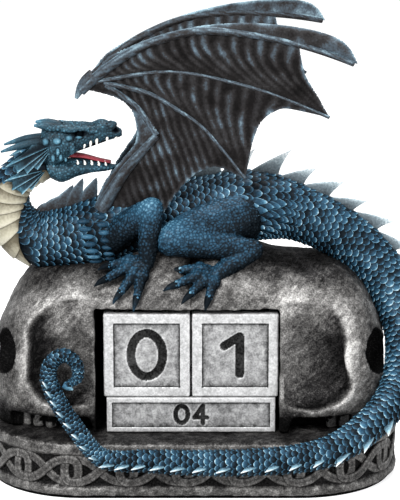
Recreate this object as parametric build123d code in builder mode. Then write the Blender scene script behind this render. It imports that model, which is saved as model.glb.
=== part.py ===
from build123d import *
import os
from math import copysign, cos, pi, sin

# Figurine desk calendar: a dragon lies over two skulls on an oval plinth.
# A niche between the skulls holds two number cubes and three month bars.
# Millimetres, +Z up, origin at the middle of the underside of the felt.

# Clearances and cutting
block_gap = 0.3
cut_overrun = 6.0

# Plinth and felt
plinth_length = 163.0
plinth_depth = 84.0
plinth_corner_radius = 40.0
bottom_rim_height = 3.5
band_height = 13.3
top_rim_height = 4.5
band_inset = 1.6
rim_chamfer = 0.9
felt_thickness = 1.2
felt_inset = 2.0

# Number cubes and month bars
cube_size = 33.0
cube_parting = 0.8
cube_border = 3.9
cube_panel_depth = 0.8
bar_length = 64.8
bar_size = 14.0
bar_border = 2.1
bar_panel_depth = 0.6
block_edge_radius = 0.7
bar_count = 3

# Skulls and the niche between them
skull_half_length = 75.0
skull_half_depth = 33.5
skull_height = 67.5
skull_squareness = 2.6
niche_left_gap = 3.4
niche_right_gap = 0.6
niche_top_gap = 2.0
niche_back_gap = 0.6
block_setback = 4.5
orbit_radius = 8.4
nose_height = 14.0
nose_width = 11.0
nose_depth = 9.0
nose_rounding = 1.6
temple_radius = 32.0
temple_depth = 4.0
cheek_slot_height = 7.4
cheek_slot_inset = 13.5
tooth_radius = 1.9
tooth_height = 6.0
tooth_count = 15

# Dragon
dragon_half_reach = 78.0
body_radius = 14.0
neck_rise = 35.0
head_length = 33.0
head_half_width = 8.0
head_height = 29.0
horn_length = 18.0
fin_length = 24.0
fin_thickness = 1.2
fang_length = 2.9
fang_radius = 0.75
leg_radius = 7.0
claw_length = 4.6
wing_length = 111.0
wing_height = 88.0
wing_sheet = 1.6
wing_bone_radius = 2.3
far_wing_share = 0.93
far_wing_turn = 4.0
wing_root_gap = 11.0
wing_tip_gap = 44.0
wing_peg_radius = 2.0
wing_peg_length = 6.0
peg_clearance = 0.1
spine_length = 9.5
spine_height = 8.5
spine_thickness = 2.0
neck_blade_length = 5.0
neck_blade_height = 10.5

# Heights and places that follow from the sizes above
plinth_half_length = plinth_length / 2
plinth_half_depth = plinth_depth / 2
plinth_height = bottom_rim_height + band_height + top_rim_height
plinth_top = felt_thickness + plinth_height
skull_top = plinth_top + skull_height
block_front = block_setback - skull_half_depth
cube_floor = plinth_top + bar_size + 2 * block_gap
cube_middle = (cube_size + cube_parting) / 2
niche_left = -(cube_size + cube_parting / 2 + niche_left_gap)
niche_right = cube_size + cube_parting / 2 + niche_right_gap
niche_top = cube_floor + cube_size + niche_top_gap
bar_pitch = bar_size + block_gap
niche_back = block_front + bar_count * bar_pitch + niche_back_gap
head_middle_y = -0.18 * skull_half_depth


# Shared forms

def path_planes(points):
    """Planes square to a path, one at each point, without twist from one to the next."""
    places = [Vector(*point) for point in points]
    side = Vector(0, 1, 0)
    planes = []
    for index, place in enumerate(places):
        before = places[max(index - 1, 0)]
        after = places[min(index + 1, len(places) - 1)]
        along = (after - before).normalized()
        side = (side - along * along.dot(side)).normalized()
        planes.append(Plane(origin=place, x_dir=side, z_dir=along))
    return planes


def smooth_rows(rows):
    """Rows with a row added halfway along each span, on a smooth curve through them."""
    vectors = [tuple(row) for row in rows]
    smooth = [vectors[0]]
    for index in range(len(vectors) - 1):
        before = vectors[max(index - 1, 0)]
        after = vectors[min(index + 2, len(vectors) - 1)]
        halfway = []
        for w, x, y, z in zip(before, vectors[index], vectors[index + 1], after):
            halfway.append((9 * (x + y) - w - z) / 16)
        smooth.append(tuple(halfway))
        smooth.append(vectors[index + 1])
    return smooth


def add_tube(planes, radii):
    """A round limb lofted through one circle, in two halves, on each plane."""
    sections = []
    for plane, radius in zip(planes, radii):
        with BuildSketch(plane) as section:
            with BuildLine():
                CenterArc((0, 0), radius, 90, 180)
                CenterArc((0, 0), radius, 270, 180)
            make_face()
        sections.append(section.sketch)
    loft(sections)


# Joints of limbs and wings swell past the bones that meet there
knuckle_share = 1.08


def add_limb(points, radii):
    """A limb of tapering lengths with a rounded joint at every point."""
    places = [Vector(*point) for point in points]
    joints = []
    for index in range(len(places) - 1):
        along = (places[index + 1] - places[index]).normalized()
        first = Plane(origin=places[index], z_dir=along)
        second = Plane(origin=places[index + 1], x_dir=first.x_dir, z_dir=along)
        add_tube([first, second], radii[index:index + 2])
        joints.append(second)
    for joint, radius in zip(joints[:-1], radii[1:-1]):
        with Locations(joint):
            Sphere(knuckle_share * radius)


blade_outline_shares = (
    (-0.50, -0.30), (-0.36, 0.16), (0.00, 0.58), (0.36, 0.84),
    (0.75, 1.00), (0.50, 0.62), (0.42, 0.22), (0.50, -0.30),
)


def add_blade(plane, length, height, thickness):
    """A flat pointed blade that leans back along the plane's x axis."""
    with BuildSketch(plane) as blade:
        with BuildLine():
            Polyline(*[(x * length, y * height) for x, y in blade_outline_shares], close=True)
        make_face()
    extrude(blade.sketch, amount=thickness / 2, both=True)


def bent(value, squareness):
    """A cosine or sine bent toward a squarer oval."""
    return copysign(abs(value) ** (2 / squareness), value)


# Felt sheet under the plinth
with BuildPart() as felt_base:
    with BuildSketch():
        RectangleRounded(
            plinth_length - 2 * felt_inset,
            plinth_depth - 2 * felt_inset,
            plinth_corner_radius - felt_inset,
        )
    extrude(amount=felt_thickness)

# Plinth: an oval block with a sunk band between two rims
with BuildPart() as plinth:
    with BuildSketch(Plane.XY.offset(felt_thickness)):
        RectangleRounded(plinth_length, plinth_depth, plinth_corner_radius)
    extrude(amount=plinth_height)
    rim_edges = plinth.edges().group_by(Axis.Z)
    chamfer(rim_edges[0] + rim_edges[-1], length=rim_chamfer)
    with BuildSketch(Plane.XY.offset(felt_thickness + bottom_rim_height)):
        RectangleRounded(
            plinth_length + 2 * cut_overrun,
            plinth_depth + 2 * cut_overrun,
            plinth_corner_radius + cut_overrun,
        )
        RectangleRounded(
            plinth_length - 2 * band_inset,
            plinth_depth - 2 * band_inset,
            plinth_corner_radius - band_inset,
            mode=Mode.SUBTRACT,
        )
    extrude(amount=band_height, mode=Mode.SUBTRACT)

# Skulls: x share of the half length, then shares of half depth and of height
# for the section's half depth, its middle and its half height
skull_section_shares = (
    (0.00, 1.00, 0.378, 0.622),
    (0.36, 1.00, 0.378, 0.615),
    (0.68, 0.97, 0.365, 0.585),
    (0.83, 0.88, 0.345, 0.530),
    (0.93, 0.74, 0.300, 0.425),
    (1.00, 0.53, 0.250, 0.315),
)
orbit_shares = (0.965, 0.58, 0.45)
temple_shares = (0.63, 0.95, 0.40)
nose_middle_share = 0.285
tooth_arc_shares = (0.66, 0.345, 0.66)
cheek_slot_shares = (0.50, 0.93)
skull_arch_steps = 14


def build_skull(side):
    """One skull facing along x on the given side, open at the shared niche."""
    with BuildPart() as skull:
        for x_share, depth_share, middle_share, height_share in skull_section_shares:
            half_depth = depth_share * skull_half_depth
            middle = plinth_top + middle_share * skull_height
            half_height = height_share * skull_height
            points = []
            for step in range(skull_arch_steps + 1):
                turn = (1.5 * step / skull_arch_steps - 0.25) * pi
                points.append((
                    half_depth * bent(cos(turn), skull_squareness),
                    middle + half_height * bent(sin(turn), skull_squareness),
                ))
            with BuildSketch(Plane.YZ.offset(side * x_share * skull_half_length)):
                with BuildLine():
                    arch = Spline(*points)
                    Line(arch @ 1, arch @ 0)
                make_face()
        loft()
        split(bisect_by=Plane.XY.offset(plinth_top), keep=Keep.TOP)

        # Hollow of each temple, above the cheek arch
        temple_y = temple_shares[1] * skull_half_depth + temple_radius - temple_depth
        temple_x = side * temple_shares[0] * skull_half_length
        temple_z = plinth_top + temple_shares[2] * skull_height
        with Locations((temple_x, -temple_y, temple_z), (temple_x, temple_y, temple_z)):
            Sphere(temple_radius, mode=Mode.SUBTRACT)

        # Slot under each cheek arch
        slot_start, slot_end = (share * skull_half_length for share in cheek_slot_shares)
        slot_y = skull_half_depth - cheek_slot_inset + cut_overrun
        with BuildSketch(Plane.XY.offset(plinth_top)):
            slot_x = side * (slot_start + slot_end) / 2
            with Locations((slot_x, -slot_y), (slot_x, slot_y)):
                RectangleRounded(slot_end - slot_start, 2 * cut_overrun, cut_overrun / 2)
        extrude(amount=cheek_slot_height, mode=Mode.SUBTRACT)

        # Row of upper teeth round the front of the jaw
        with BuildSketch(Plane.XY.offset(plinth_top)):
            for step in range(tooth_count):
                turn = (0.06 + 0.88 * step / (tooth_count - 1)) * pi
                tooth_x = tooth_arc_shares[0] + tooth_arc_shares[1] * sin(turn)
                tooth_y = tooth_arc_shares[2] * cos(turn)
                with Locations((side * tooth_x * skull_half_length, tooth_y * skull_half_depth)):
                    Circle(tooth_radius)
        extrude(amount=tooth_height)

        # Eye sockets and nose opening
        orbit_x = side * orbit_shares[0] * skull_half_length
        orbit_y = orbit_shares[1] * skull_half_depth
        orbit_z = plinth_top + orbit_shares[2] * skull_height
        with Locations((orbit_x, -orbit_y, orbit_z), (orbit_x, orbit_y, orbit_z)):
            Sphere(orbit_radius, mode=Mode.SUBTRACT)
        nose_z = plinth_top + nose_middle_share * skull_height
        with BuildSketch(Plane.YZ.offset(side * (skull_half_length - nose_depth))) as nose:
            with BuildLine():
                Polyline(
                    (-nose_width / 2, nose_z - nose_height / 2),
                    (nose_width / 2, nose_z - nose_height / 2),
                    (0, nose_z + nose_height / 2),
                    close=True,
                )
            make_face()
            fillet(nose.vertices(), nose_rounding)
        extrude(amount=side * (nose_depth + cut_overrun), mode=Mode.SUBTRACT)

        # Niche for the calendar blocks
        with BuildSketch(Plane.XY.offset(plinth_top)):
            niche_front = -(skull_half_depth + cut_overrun)
            with Locations(((niche_left + niche_right) / 2, (niche_front + niche_back) / 2)):
                Rectangle(niche_right - niche_left, niche_back - niche_front)
        extrude(amount=niche_top - plinth_top, mode=Mode.SUBTRACT)
    return skull


right_skull = build_skull(1)
left_skull = build_skull(-1)


# Calendar blocks

def build_cube(middle_x):
    """A number cube with a sunk panel on each face."""
    with BuildPart() as cube:
        with BuildSketch(Plane.XY.offset(cube_floor)):
            with Locations((middle_x, block_front + cube_size / 2)):
                Rectangle(cube_size, cube_size)
        extrude(amount=cube_size)
        with BuildSketch(*cube.faces()):
            Rectangle(cube_size - 2 * cube_border, cube_size - 2 * cube_border)
        extrude(amount=-cube_panel_depth, mode=Mode.SUBTRACT)
        fillet(cube.edges().group_by(SortBy.LENGTH)[-1], block_edge_radius)
    return cube


def build_bar(place):
    """A month bar with a sunk panel on each long face, counted from the front."""
    with BuildPart() as bar:
        with BuildSketch(Plane.XY.offset(plinth_top + block_gap)):
            with Locations((0, block_front + place * bar_pitch + bar_size / 2)):
                Rectangle(bar_length, bar_size)
        extrude(amount=bar_size)
        sides = bar.faces().filter_by(Axis.Y) + bar.faces().filter_by(Axis.Z)
        for side_face in sides:
            panel_plane = Plane(
                origin=side_face.center(), x_dir=(1, 0, 0), z_dir=side_face.normal_at()
            )
            with BuildSketch(panel_plane):
                Rectangle(bar_length - 2 * bar_border, bar_size - 2 * bar_border)
            extrude(amount=-bar_panel_depth, mode=Mode.SUBTRACT)
        outer = bar.edges().group_by(SortBy.LENGTH)[-1]
        fillet(outer, block_edge_radius)
    return bar


tens_cube = build_cube(-cube_middle)
units_cube = build_cube(cube_middle)
front_month_bar = build_bar(0)
middle_month_bar = build_bar(1)
rear_month_bar = build_bar(2)

# Dragon's centre line from head to tail tip
# Neck rows: share of the dragon's half reach, of skull half depth, of the neck's rise, of the body radius
neck_path_shares = (
    (-0.718, -0.16, 0.994, 0.486),
    (-0.801, -0.16, 0.906, 0.490),
    (-0.881, -0.16, 0.734, 0.514),
    (-0.905, -0.15, 0.480, 0.590),
    (-0.855, -0.15, 0.235, 0.700),
    (-0.745, -0.14, 0.110, 0.790),
    (-0.595, -0.13, 0.125, 0.870),
)
torso_path_shares = (
    (-0.423, -0.12, 0.220, 0.930),
    (-0.192, -0.06, 0.290, 1.000),
    (0.064, 0.00, 0.386, 1.014),
    (0.315, 0.00, 0.457, 0.964),
)
# Tail rows: share of the dragon's half reach, of plinth half depth, of the skulls' top, of the body radius
tail_path_shares = (
    (0.536, 0.050, 1.139, 0.771),
    (0.768, 0.070, 1.036, 0.700),
    (0.949, 0.000, 0.889, 0.643),
    (1.050, -0.143, 0.711, 0.571),
    (1.065, -0.333, 0.556, 0.521),
    (1.012, -0.571, 0.411, 0.479),
    (0.875, -0.857, 0.311, 0.436),
    (0.659, -1.048, 0.221, 0.393),
    (0.364, -1.095, 0.188, 0.357),
    (0.045, -1.095, 0.182, 0.336),
    (-0.227, -1.090, 0.190, 0.298),
    (-0.428, -1.075, 0.199, 0.257),
    (-0.551, -1.015, 0.312, 0.250),
    (-0.648, -0.929, 0.430, 0.245),
    (-0.694, -0.869, 0.527, 0.230),
    (-0.669, -0.838, 0.594, 0.212),
    (-0.610, -0.833, 0.616, 0.196),
    (-0.556, -0.833, 0.577, 0.178),
    (-0.556, -0.833, 0.514, 0.150),
    (-0.615, -0.833, 0.484, 0.085),
)
body_rows = []
for x_share, y_share, z_share, radius_share in neck_path_shares + torso_path_shares:
    body_rows.append((
        x_share * dragon_half_reach,
        y_share * skull_half_depth,
        skull_top + z_share * neck_rise,
        radius_share * body_radius,
    ))
for x_share, y_share, z_share, radius_share in tail_path_shares:
    body_rows.append((
        x_share * dragon_half_reach,
        y_share * plinth_half_depth,
        z_share * skull_top,
        radius_share * body_radius,
    ))
body_rows = smooth_rows(body_rows)
body_planes = path_planes([row[:3] for row in body_rows])
body_radii = [row[3] for row in body_rows]
neck_end = 2 * len(neck_path_shares)
torso_end = neck_end + 2 * (len(torso_path_shares) - 1)
root_end = torso_end + 8
side_end = root_end + 8
front_end = side_end + 8


def back_plane(position, lean):
    """A plane on the dragon's back at a place counted along the path, and the radius there."""
    index = min(int(position), len(body_planes) - 2)
    share = position - index
    first = body_planes[index]
    second = body_planes[index + 1]
    radius = body_radii[index] * (1 - share) + body_radii[index + 1] * share
    along = (first.z_dir * (1 - share) + second.z_dir * share).normalized()
    up = first.y_dir * (1 - share) + second.y_dir * share
    up = (up * cos(lean) - (first.x_dir * (1 - share) + second.x_dir * share) * sin(lean)).normalized()
    place = first.origin * (1 - share) + second.origin * share
    return Plane(origin=place + up * (0.94 * radius), x_dir=along, z_dir=along.cross(up))


# Head rows: share of head length from the back of the head, of head height above its base,
# then shares of head half width and head height for the section
head_base_x = -0.733 * dragon_half_reach
head_base_z = skull_top + 0.72 * neck_rise
upper_head_shares = (
    (0.00, 0.53, 0.60, 0.240),
    (0.08, 0.54, 0.88, 0.290),
    (0.20, 0.56, 1.00, 0.270),
    (0.37, 0.63, 0.88, 0.195),
    (0.55, 0.68, 0.70, 0.155),
    (0.69, 0.74, 0.60, 0.158),
    (0.83, 0.73, 0.50, 0.100),
    (0.93, 0.71, 0.28, 0.040),
)
lower_jaw_shares = (
    (0.05, 0.26, 0.55, 0.120),
    (0.22, 0.20, 0.80, 0.155),
    (0.40, 0.25, 0.68, 0.125),
    (0.58, 0.26, 0.54, 0.085),
    (0.75, 0.25, 0.40, 0.050),
    (0.86, 0.26, 0.20, 0.020),
)
tongue_shares = (
    (0.30, 0.42, 0.34, 0.040),
    (0.48, 0.40, 0.34, 0.030),
    (0.66, 0.35, 0.32, 0.022),
    (0.80, 0.32, 0.26, 0.020),
)


def add_head_form(rows):
    """A tapering form lofted along the head through oval sections."""
    sections = []
    for x_share, z_share, width_share, height_share in rows:
        section_plane = Plane(
            origin=(
                head_base_x + x_share * head_length,
                head_middle_y,
                head_base_z + z_share * head_height,
            ),
            x_dir=(0, 1, 0),
            z_dir=(1, 0, 0),
        )
        with BuildSketch(section_plane) as section:
            Ellipse(width_share * head_half_width, height_share * head_height)
        sections.append(section.sketch)
    loft(sections)


def head_place(x_share, y_share, z_share):
    """A point on the head from shares of its length, half width and height."""
    return Vector(
        head_base_x + x_share * head_length,
        head_middle_y + y_share * head_half_width,
        head_base_z + z_share * head_height,
    )


with BuildPart() as dragon_head:
    add_head_form(upper_head_shares)

with BuildPart() as dragon_neck:
    add_tube(body_planes[:neck_end + 1], body_radii[:neck_end + 1])
    add(dragon_head.part, mode=Mode.SUBTRACT)
    add(left_skull.part, mode=Mode.SUBTRACT)

with BuildPart() as lower_jaw:
    add_head_form(lower_jaw_shares)
    add(dragon_head.part, mode=Mode.SUBTRACT)
    add(dragon_neck.part, mode=Mode.SUBTRACT)

with BuildPart() as tongue:
    add_head_form(tongue_shares)
    add(dragon_head.part, mode=Mode.SUBTRACT)
    add(lower_jaw.part, mode=Mode.SUBTRACT)

# Teeth rows: share of head length, of head half width, of head height, of fang length
upper_tooth_shares = (
    (0.50, 0.58, 0.575, 0.60),
    (0.57, 0.55, 0.590, 0.65),
    (0.64, 0.52, 0.605, 0.75),
    (0.76, 0.42, 0.640, 1.00),
    (0.86, 0.28, 0.665, 0.80),
)
lower_tooth_shares = (
    (0.42, 0.50, 0.330, 0.70),
    (0.50, 0.46, 0.325, 0.70),
    (0.58, 0.40, 0.320, 0.70),
    (0.66, 0.34, 0.305, 0.75),
    (0.74, 0.26, 0.285, 1.00),
)


def add_teeth(rows, direction):
    """Pairs of pointed teeth rooted in a jaw and pointing up or down."""
    for x_share, y_share, z_share, length_share in rows:
        for side in (-1, 1):
            root = head_place(x_share, side * y_share, z_share)
            root_plane = Plane(origin=root, z_dir=(0, 0, direction))
            length = length_share * fang_length
            add_tube(
                [root_plane.offset(-0.5 * length), root_plane.offset(length)],
                [fang_radius, fang_radius / 4],
            )


with BuildPart() as upper_teeth:
    add_teeth(upper_tooth_shares, -1)
    add(dragon_head.part, mode=Mode.SUBTRACT)

with BuildPart() as lower_teeth:
    add_teeth(lower_tooth_shares, 1)
    add(lower_jaw.part, mode=Mode.SUBTRACT)
    add(tongue.part, mode=Mode.SUBTRACT)

# Horns sweep back from the crown; shorter brow horns sit in front of them
horn_shares = (
    ((0.12, 0.55, 0.62), (-0.20, 0.80, 0.585), (-0.46, 0.90, 0.50), 0.115),
    ((0.22, 0.40, 0.76), (0.06, 0.48, 0.82), (-0.08, 0.50, 0.83), 0.130),
)
with BuildPart() as horns:
    for root_share, bend_share, tip_share, radius_share in horn_shares:
        for side in (-1, 1):
            horn_points = []
            for x_share, y_share, z_share in (root_share, bend_share, tip_share):
                horn_points.append(tuple(head_place(x_share, side * y_share, z_share)))
            horn_radius = radius_share * horn_length
            add_tube(path_planes(horn_points), [horn_radius, 0.72 * horn_radius, 0.2 * horn_radius])
    add(dragon_head.part, mode=Mode.SUBTRACT)

# Cheek fins: ribbed fans behind the jaw, as points round each fan in shares of fin length
fin_root_shares = ((0.04, 0.58), (-0.06, 0.24))
upper_fin_shares = (
    (0.30, 0.10), (-0.20, 0.02), (-0.65, -0.31), (-0.46, -0.30), (-0.45, -0.42), (-0.33, -0.34),
    (-0.29, -0.44), (-0.19, -0.33), (-0.12, -0.38), (0.05, -0.20), (0.30, -0.06),
)
lower_fin_shares = (
    (0.26, 0.10), (-0.16, 0.06), (-0.53, -0.13), (-0.36, -0.16), (-0.40, -0.29), (-0.25, -0.25),
    (-0.24, -0.37), (-0.13, -0.26), (-0.08, -0.30), (0.04, -0.16), (0.26, -0.04),
)


def build_cheek_fins(side):
    """The two fans on one cheek, let into the head and neck."""
    with BuildPart() as fins:
        for (root_x, root_z), outline in zip(fin_root_shares, (upper_fin_shares, lower_fin_shares)):
            root = head_place(root_x, side * 0.80, root_z)
            fan_plane = Plane(
                origin=root, x_dir=(1, side * -0.28, 0), z_dir=(-side * 0.28, -1, 0)
            )
            with BuildSketch(fan_plane):
                with BuildLine():
                    Polyline(*[(x * fin_length, z * fin_length) for x, z in outline], close=True)
                make_face()
            extrude(amount=fin_thickness / 2, both=True)
        add(dragon_head.part, mode=Mode.SUBTRACT)
        add(lower_jaw.part, mode=Mode.SUBTRACT)
        add(dragon_neck.part, mode=Mode.SUBTRACT)
        add(horns.part, mode=Mode.SUBTRACT)
    return fins


near_cheek_fins = build_cheek_fins(-1)
far_cheek_fins = build_cheek_fins(1)

# Torso before its peg sockets are cut
with BuildPart() as torso_form:
    add_tube(body_planes[neck_end:torso_end + 1], body_radii[neck_end:torso_end + 1])
    add(left_skull.part, mode=Mode.SUBTRACT)
    add(right_skull.part, mode=Mode.SUBTRACT)

# Wings: points as shares of wing length and wing height from the wing's lower front corner
wing_start_x = -0.577 * dragon_half_reach
wing_start_z = skull_top + 0.09 * wing_height
wing_bow_share = 0.21
wing_bow_steps = 6
wing_top_shares = (
    (0.024, 0.612), (0.105, 0.745), (0.195, 0.812), (0.316, 0.876), (0.437, 0.918),
    (0.613, 0.940), (0.800, 0.918), (0.905, 0.866), (0.947, 0.790),
)
wing_first_bay_shares = ((0.947, 0.790), (0.845, 0.836), (0.766, 0.848))
wing_second_bay_shares = ((0.766, 0.848), (0.784, 0.740), (0.824, 0.655), (0.867, 0.560))
wing_third_bay_shares = (
    (0.867, 0.560), (0.738, 0.585), (0.690, 0.572), (0.642, 0.520), (0.612, 0.418), (0.590, 0.268),
)
wing_fourth_bay_shares = (
    (0.590, 0.268), (0.502, 0.312), (0.461, 0.304), (0.409, 0.264), (0.355, 0.186), (0.300, 0.070),
)
wing_fore_edge_shares = (
    (0.060, 0.070), (0.091, 0.217), (0.155, 0.327), (0.200, 0.400), (0.205, 0.475),
    (0.185, 0.552), (0.132, 0.602), (0.024, 0.612),
)
# Bone rows: points along the bone, then shares of the bone radius at its start and end
wing_bone_shares = (
    (((0.095, 0.100), (0.177, 0.274), (0.288, 0.440)), 1.20, 0.90),
    (((0.288, 0.440), (0.220, 0.560), (0.115, 0.652)), 0.95, 0.85),
    (((0.030, 0.625), (0.195, 0.792), (0.437, 0.897), (0.735, 0.868), (0.941, 0.796)), 0.95, 0.40),
    (((0.080, 0.662), (0.250, 0.706), (0.409, 0.712), (0.665, 0.648), (0.865, 0.562)), 0.80, 0.34),
    (((0.110, 0.660), (0.250, 0.625), (0.355, 0.558), (0.461, 0.464), (0.589, 0.272)), 0.80, 0.34),
)
wing_peg_shares = (0.150, 0.110)


def wing_place(shares):
    """A point of the wing seen from the front."""
    return (wing_start_x + shares[0] * wing_length, wing_start_z + shares[1] * wing_height)


def wing_depth(share):
    """How far the wing stands out from the middle, growing toward its tip."""
    bow = share * (wing_bow_share + (1 - wing_bow_share) * share)
    return wing_root_gap + (wing_tip_gap - wing_root_gap) * bow


# Wing as modelled: a bowed membrane cut to scalloped bays, with round finger bones let into it
with BuildPart() as wing_form:
    with BuildSketch(Plane.XY.offset(wing_start_z)):
        with BuildLine():
            outer_points = []
            inner_points = []
            for step in range(wing_bow_steps + 1):
                bow_share = step / wing_bow_steps
                bow_x = wing_start_x + bow_share * wing_length
                outer_points.append((bow_x, -wing_depth(bow_share) - wing_sheet / 2))
                inner_points.append((bow_x, -wing_depth(bow_share) + wing_sheet / 2))
            outer = Spline(*outer_points)
            inner = Spline(*inner_points)
            Line(outer @ 0, inner @ 0)
            Line(outer @ 1, inner @ 1)
        make_face()
    extrude(amount=wing_height + cut_overrun)
    with BuildSketch(Plane.XZ):
        with BuildLine():
            Spline(*[wing_place(point) for point in wing_top_shares])
            Spline(*[wing_place(point) for point in wing_first_bay_shares])
            Spline(*[wing_place(point) for point in wing_second_bay_shares])
            Spline(*[wing_place(point) for point in wing_third_bay_shares])
            Spline(*[wing_place(point) for point in wing_fourth_bay_shares])
            Line(wing_place(wing_fourth_bay_shares[-1]), wing_place(wing_fore_edge_shares[0]))
            Spline(*[wing_place(point) for point in wing_fore_edge_shares])
        make_face()
    extrude(amount=2 * plinth_half_depth, mode=Mode.INTERSECT)
    wing_joint_rows = []
    for bone_points, start_share, end_share in wing_bone_shares:
        bone_rows = []
        for index, point in enumerate(bone_points):
            taper = index / (len(bone_points) - 1)
            bone_x, bone_z = wing_place(point)
            bone_radius = (start_share + (end_share - start_share) * taper) * wing_bone_radius
            bone_rows.append((bone_x, -wing_depth(point[0]), bone_z, bone_radius))
        bone_rows = smooth_rows(bone_rows)
        add_tube(path_planes([row[:3] for row in bone_rows]), [row[3] for row in bone_rows])
        wing_joint_rows.append(bone_rows[0])
    for row in wing_joint_rows[1:3]:
        with Locations(row[:3]):
            Sphere(knuckle_share * row[3])

peg_x, peg_z = wing_place(wing_peg_shares)
# The far wing is held a little closer and higher, turned about its peg
with BuildPart() as far_wing_form:
    add(wing_form.part.moved(Location((-peg_x, 0, -peg_z))))
    mirror(about=Plane.XZ, mode=Mode.REPLACE)
    scale(by=far_wing_share, mode=Mode.REPLACE)
    shoulder = Location((peg_x, 0, peg_z)) * Rotation(0, -far_wing_turn, 0)
with BuildPart() as far_wing_placed:
    add(far_wing_form.part.moved(shoulder))


def build_wing(side):
    """A wing seated on the dragon's flank, with a round peg let into the body."""
    with BuildPart() as wing:
        add(wing_form.part if side < 0 else far_wing_placed.part)
        add(torso_form.part, mode=Mode.SUBTRACT)
        add(dragon_neck.part, mode=Mode.SUBTRACT)
        with BuildSketch(Plane.XZ.offset(-side * wing_depth(wing_peg_shares[0]))):
            with Locations((peg_x, peg_z)):
                Circle(wing_peg_radius)
        extrude(amount=side * wing_peg_length)
    return wing


near_wing = build_wing(-1)
far_wing = build_wing(1)
socket_end = wing_depth(wing_peg_shares[0]) - wing_peg_length - peg_clearance
with BuildPart() as dragon_torso:
    add(torso_form.part)
    for side in (-1, 1):
        with BuildSketch(Plane.XZ.offset(-side * socket_end)):
            with Locations((peg_x, peg_z)):
                Circle(wing_peg_radius + peg_clearance)
        extrude(amount=-side * (wing_peg_length + cut_overrun), mode=Mode.SUBTRACT)

# Legs: points as shares of the dragon's half reach, skull half depth and body radius above the skulls
foreleg_shares = ((-0.385, 0.33, 0.38), (-0.190, 0.71, 1.42), (-0.215, 0.74, -0.05))
foreleg_radius_shares = (1.0, 0.72, 0.50)
foretoe_tip_shares = (
    (-0.420, 0.80, -0.50), (-0.345, 0.90, -0.82), (-0.265, 0.93, -0.95), (-0.400, 0.66, -0.20),
)
hind_leg_shares = (
    (0.24, 0.26, 0.95), (-0.10, 0.66, 0.55), (0.306, 0.60, 0.22), (0.13, 0.76, -0.35),
)
hind_leg_radius_shares = (1.45, 0.90, 0.55, 0.45)
hind_toe_tip_shares = (
    (-0.080, 0.86, -0.62), (-0.005, 0.92, -0.85), (0.085, 0.94, -0.95), (-0.060, 0.70, -0.30),
)
toe_root_share = 0.40
toe_tip_share = 0.22


def leg_place(shares, side):
    """A point of a leg on the near or the far side."""
    return Vector(
        shares[0] * dragon_half_reach,
        side * shares[1] * skull_half_depth,
        skull_top + shares[2] * body_radius,
    )


def build_leg(side, leg_shares, radius_shares, toe_shares, neighbours):
    """A leg with its toes and claws, seated on the body, the skulls and its neighbours."""
    with BuildPart() as leg:
        leg_points = [leg_place(shares, side) for shares in leg_shares]
        leg_radii = [share * leg_radius for share in radius_shares]
        add_limb(leg_points, leg_radii)
        foot = leg_points[-1]
        with Locations(foot):
            Sphere(knuckle_share * leg_radii[-1])
        for shares in toe_shares:
            tip = leg_place(shares, side)
            knuckle = foot + (tip - foot) * 0.45 + Vector(0, 0, toe_root_share * leg_radius / 2)
            claw = tip + (tip - knuckle).normalized() * claw_length
            toe_radius = toe_root_share * leg_radius
            tip_radius = toe_tip_share * leg_radius
            add_limb([foot, knuckle, tip, claw], [toe_radius, toe_radius, tip_radius, tip_radius / 4])
        for neighbour in neighbours:
            add(neighbour.part, mode=Mode.SUBTRACT)
    return leg


seats = [torso_form, dragon_neck, left_skull, right_skull]
near_foreleg = build_leg(
    -1, foreleg_shares, foreleg_radius_shares, foretoe_tip_shares, seats + [near_wing]
)
far_foreleg = build_leg(
    1, foreleg_shares, foreleg_radius_shares, foretoe_tip_shares, seats + [far_wing]
)
near_hind_leg = build_leg(
    -1, hind_leg_shares, hind_leg_radius_shares, hind_toe_tip_shares, seats + [near_wing, near_foreleg]
)
far_hind_leg = build_leg(
    1, hind_leg_shares, hind_leg_radius_shares, hind_toe_tip_shares, seats + [far_wing, far_foreleg]
)

# Tail in four castings that meet end to end
with BuildPart() as tail_root:
    add_tube(body_planes[torso_end:root_end + 1], body_radii[torso_end:root_end + 1])
    add(right_skull.part, mode=Mode.SUBTRACT)

with BuildPart() as tail_side:
    add_tube(body_planes[root_end:side_end + 1], body_radii[root_end:side_end + 1])
    add(right_skull.part, mode=Mode.SUBTRACT)
    add(plinth.part, mode=Mode.SUBTRACT)

with BuildPart() as tail_front:
    add_tube(body_planes[side_end:front_end + 1], body_radii[side_end:front_end + 1])
    add(plinth.part, mode=Mode.SUBTRACT)

with BuildPart() as tail_tip:
    add_tube(body_planes[front_end:], body_radii[front_end:])
    add(plinth.part, mode=Mode.SUBTRACT)
    add(left_skull.part, mode=Mode.SUBTRACT)

# Spines: first and last place along the path, step, lean toward the viewer as a share of a half
# turn, and shares of the spine's length and height at both ends
back_spine_shares = (neck_end + 2.15, root_end - 0.35, 1.0, 0.0, 1.05, 1.15, 0.80)
side_spine_shares = (root_end + 0.5, side_end - 0.4, 1.0, 0.06, 0.90, 0.90, 0.60)
front_spine_shares = (side_end + 0.3, front_end - 0.3, 0.72, 0.13, 0.62, 0.52, 0.44)
tip_spine_shares = (front_end + 0.3, front_end + 5.2, 0.7, 0.28, 0.46, 0.38, 0.22)
neck_blade_shares = (
    (8.8, 0.75), (9.8, 0.90), (10.9, 1.05), (12.0, 1.10), (13.1, 0.95),
)


def add_spines(row):
    """A row of spines along the back that shrinks toward the tail."""
    first, last, step, lean, length_share, start_share, end_share = row
    count = int((last - first) / step) + 1
    for index in range(count):
        share = index / max(count - 1, 1)
        height_share = start_share + (end_share - start_share) * share
        add_blade(
            back_plane(first + index * step, lean * pi),
            length_share * spine_length,
            height_share * spine_height,
            spine_thickness * (0.6 + 0.4 * height_share),
        )


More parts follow.
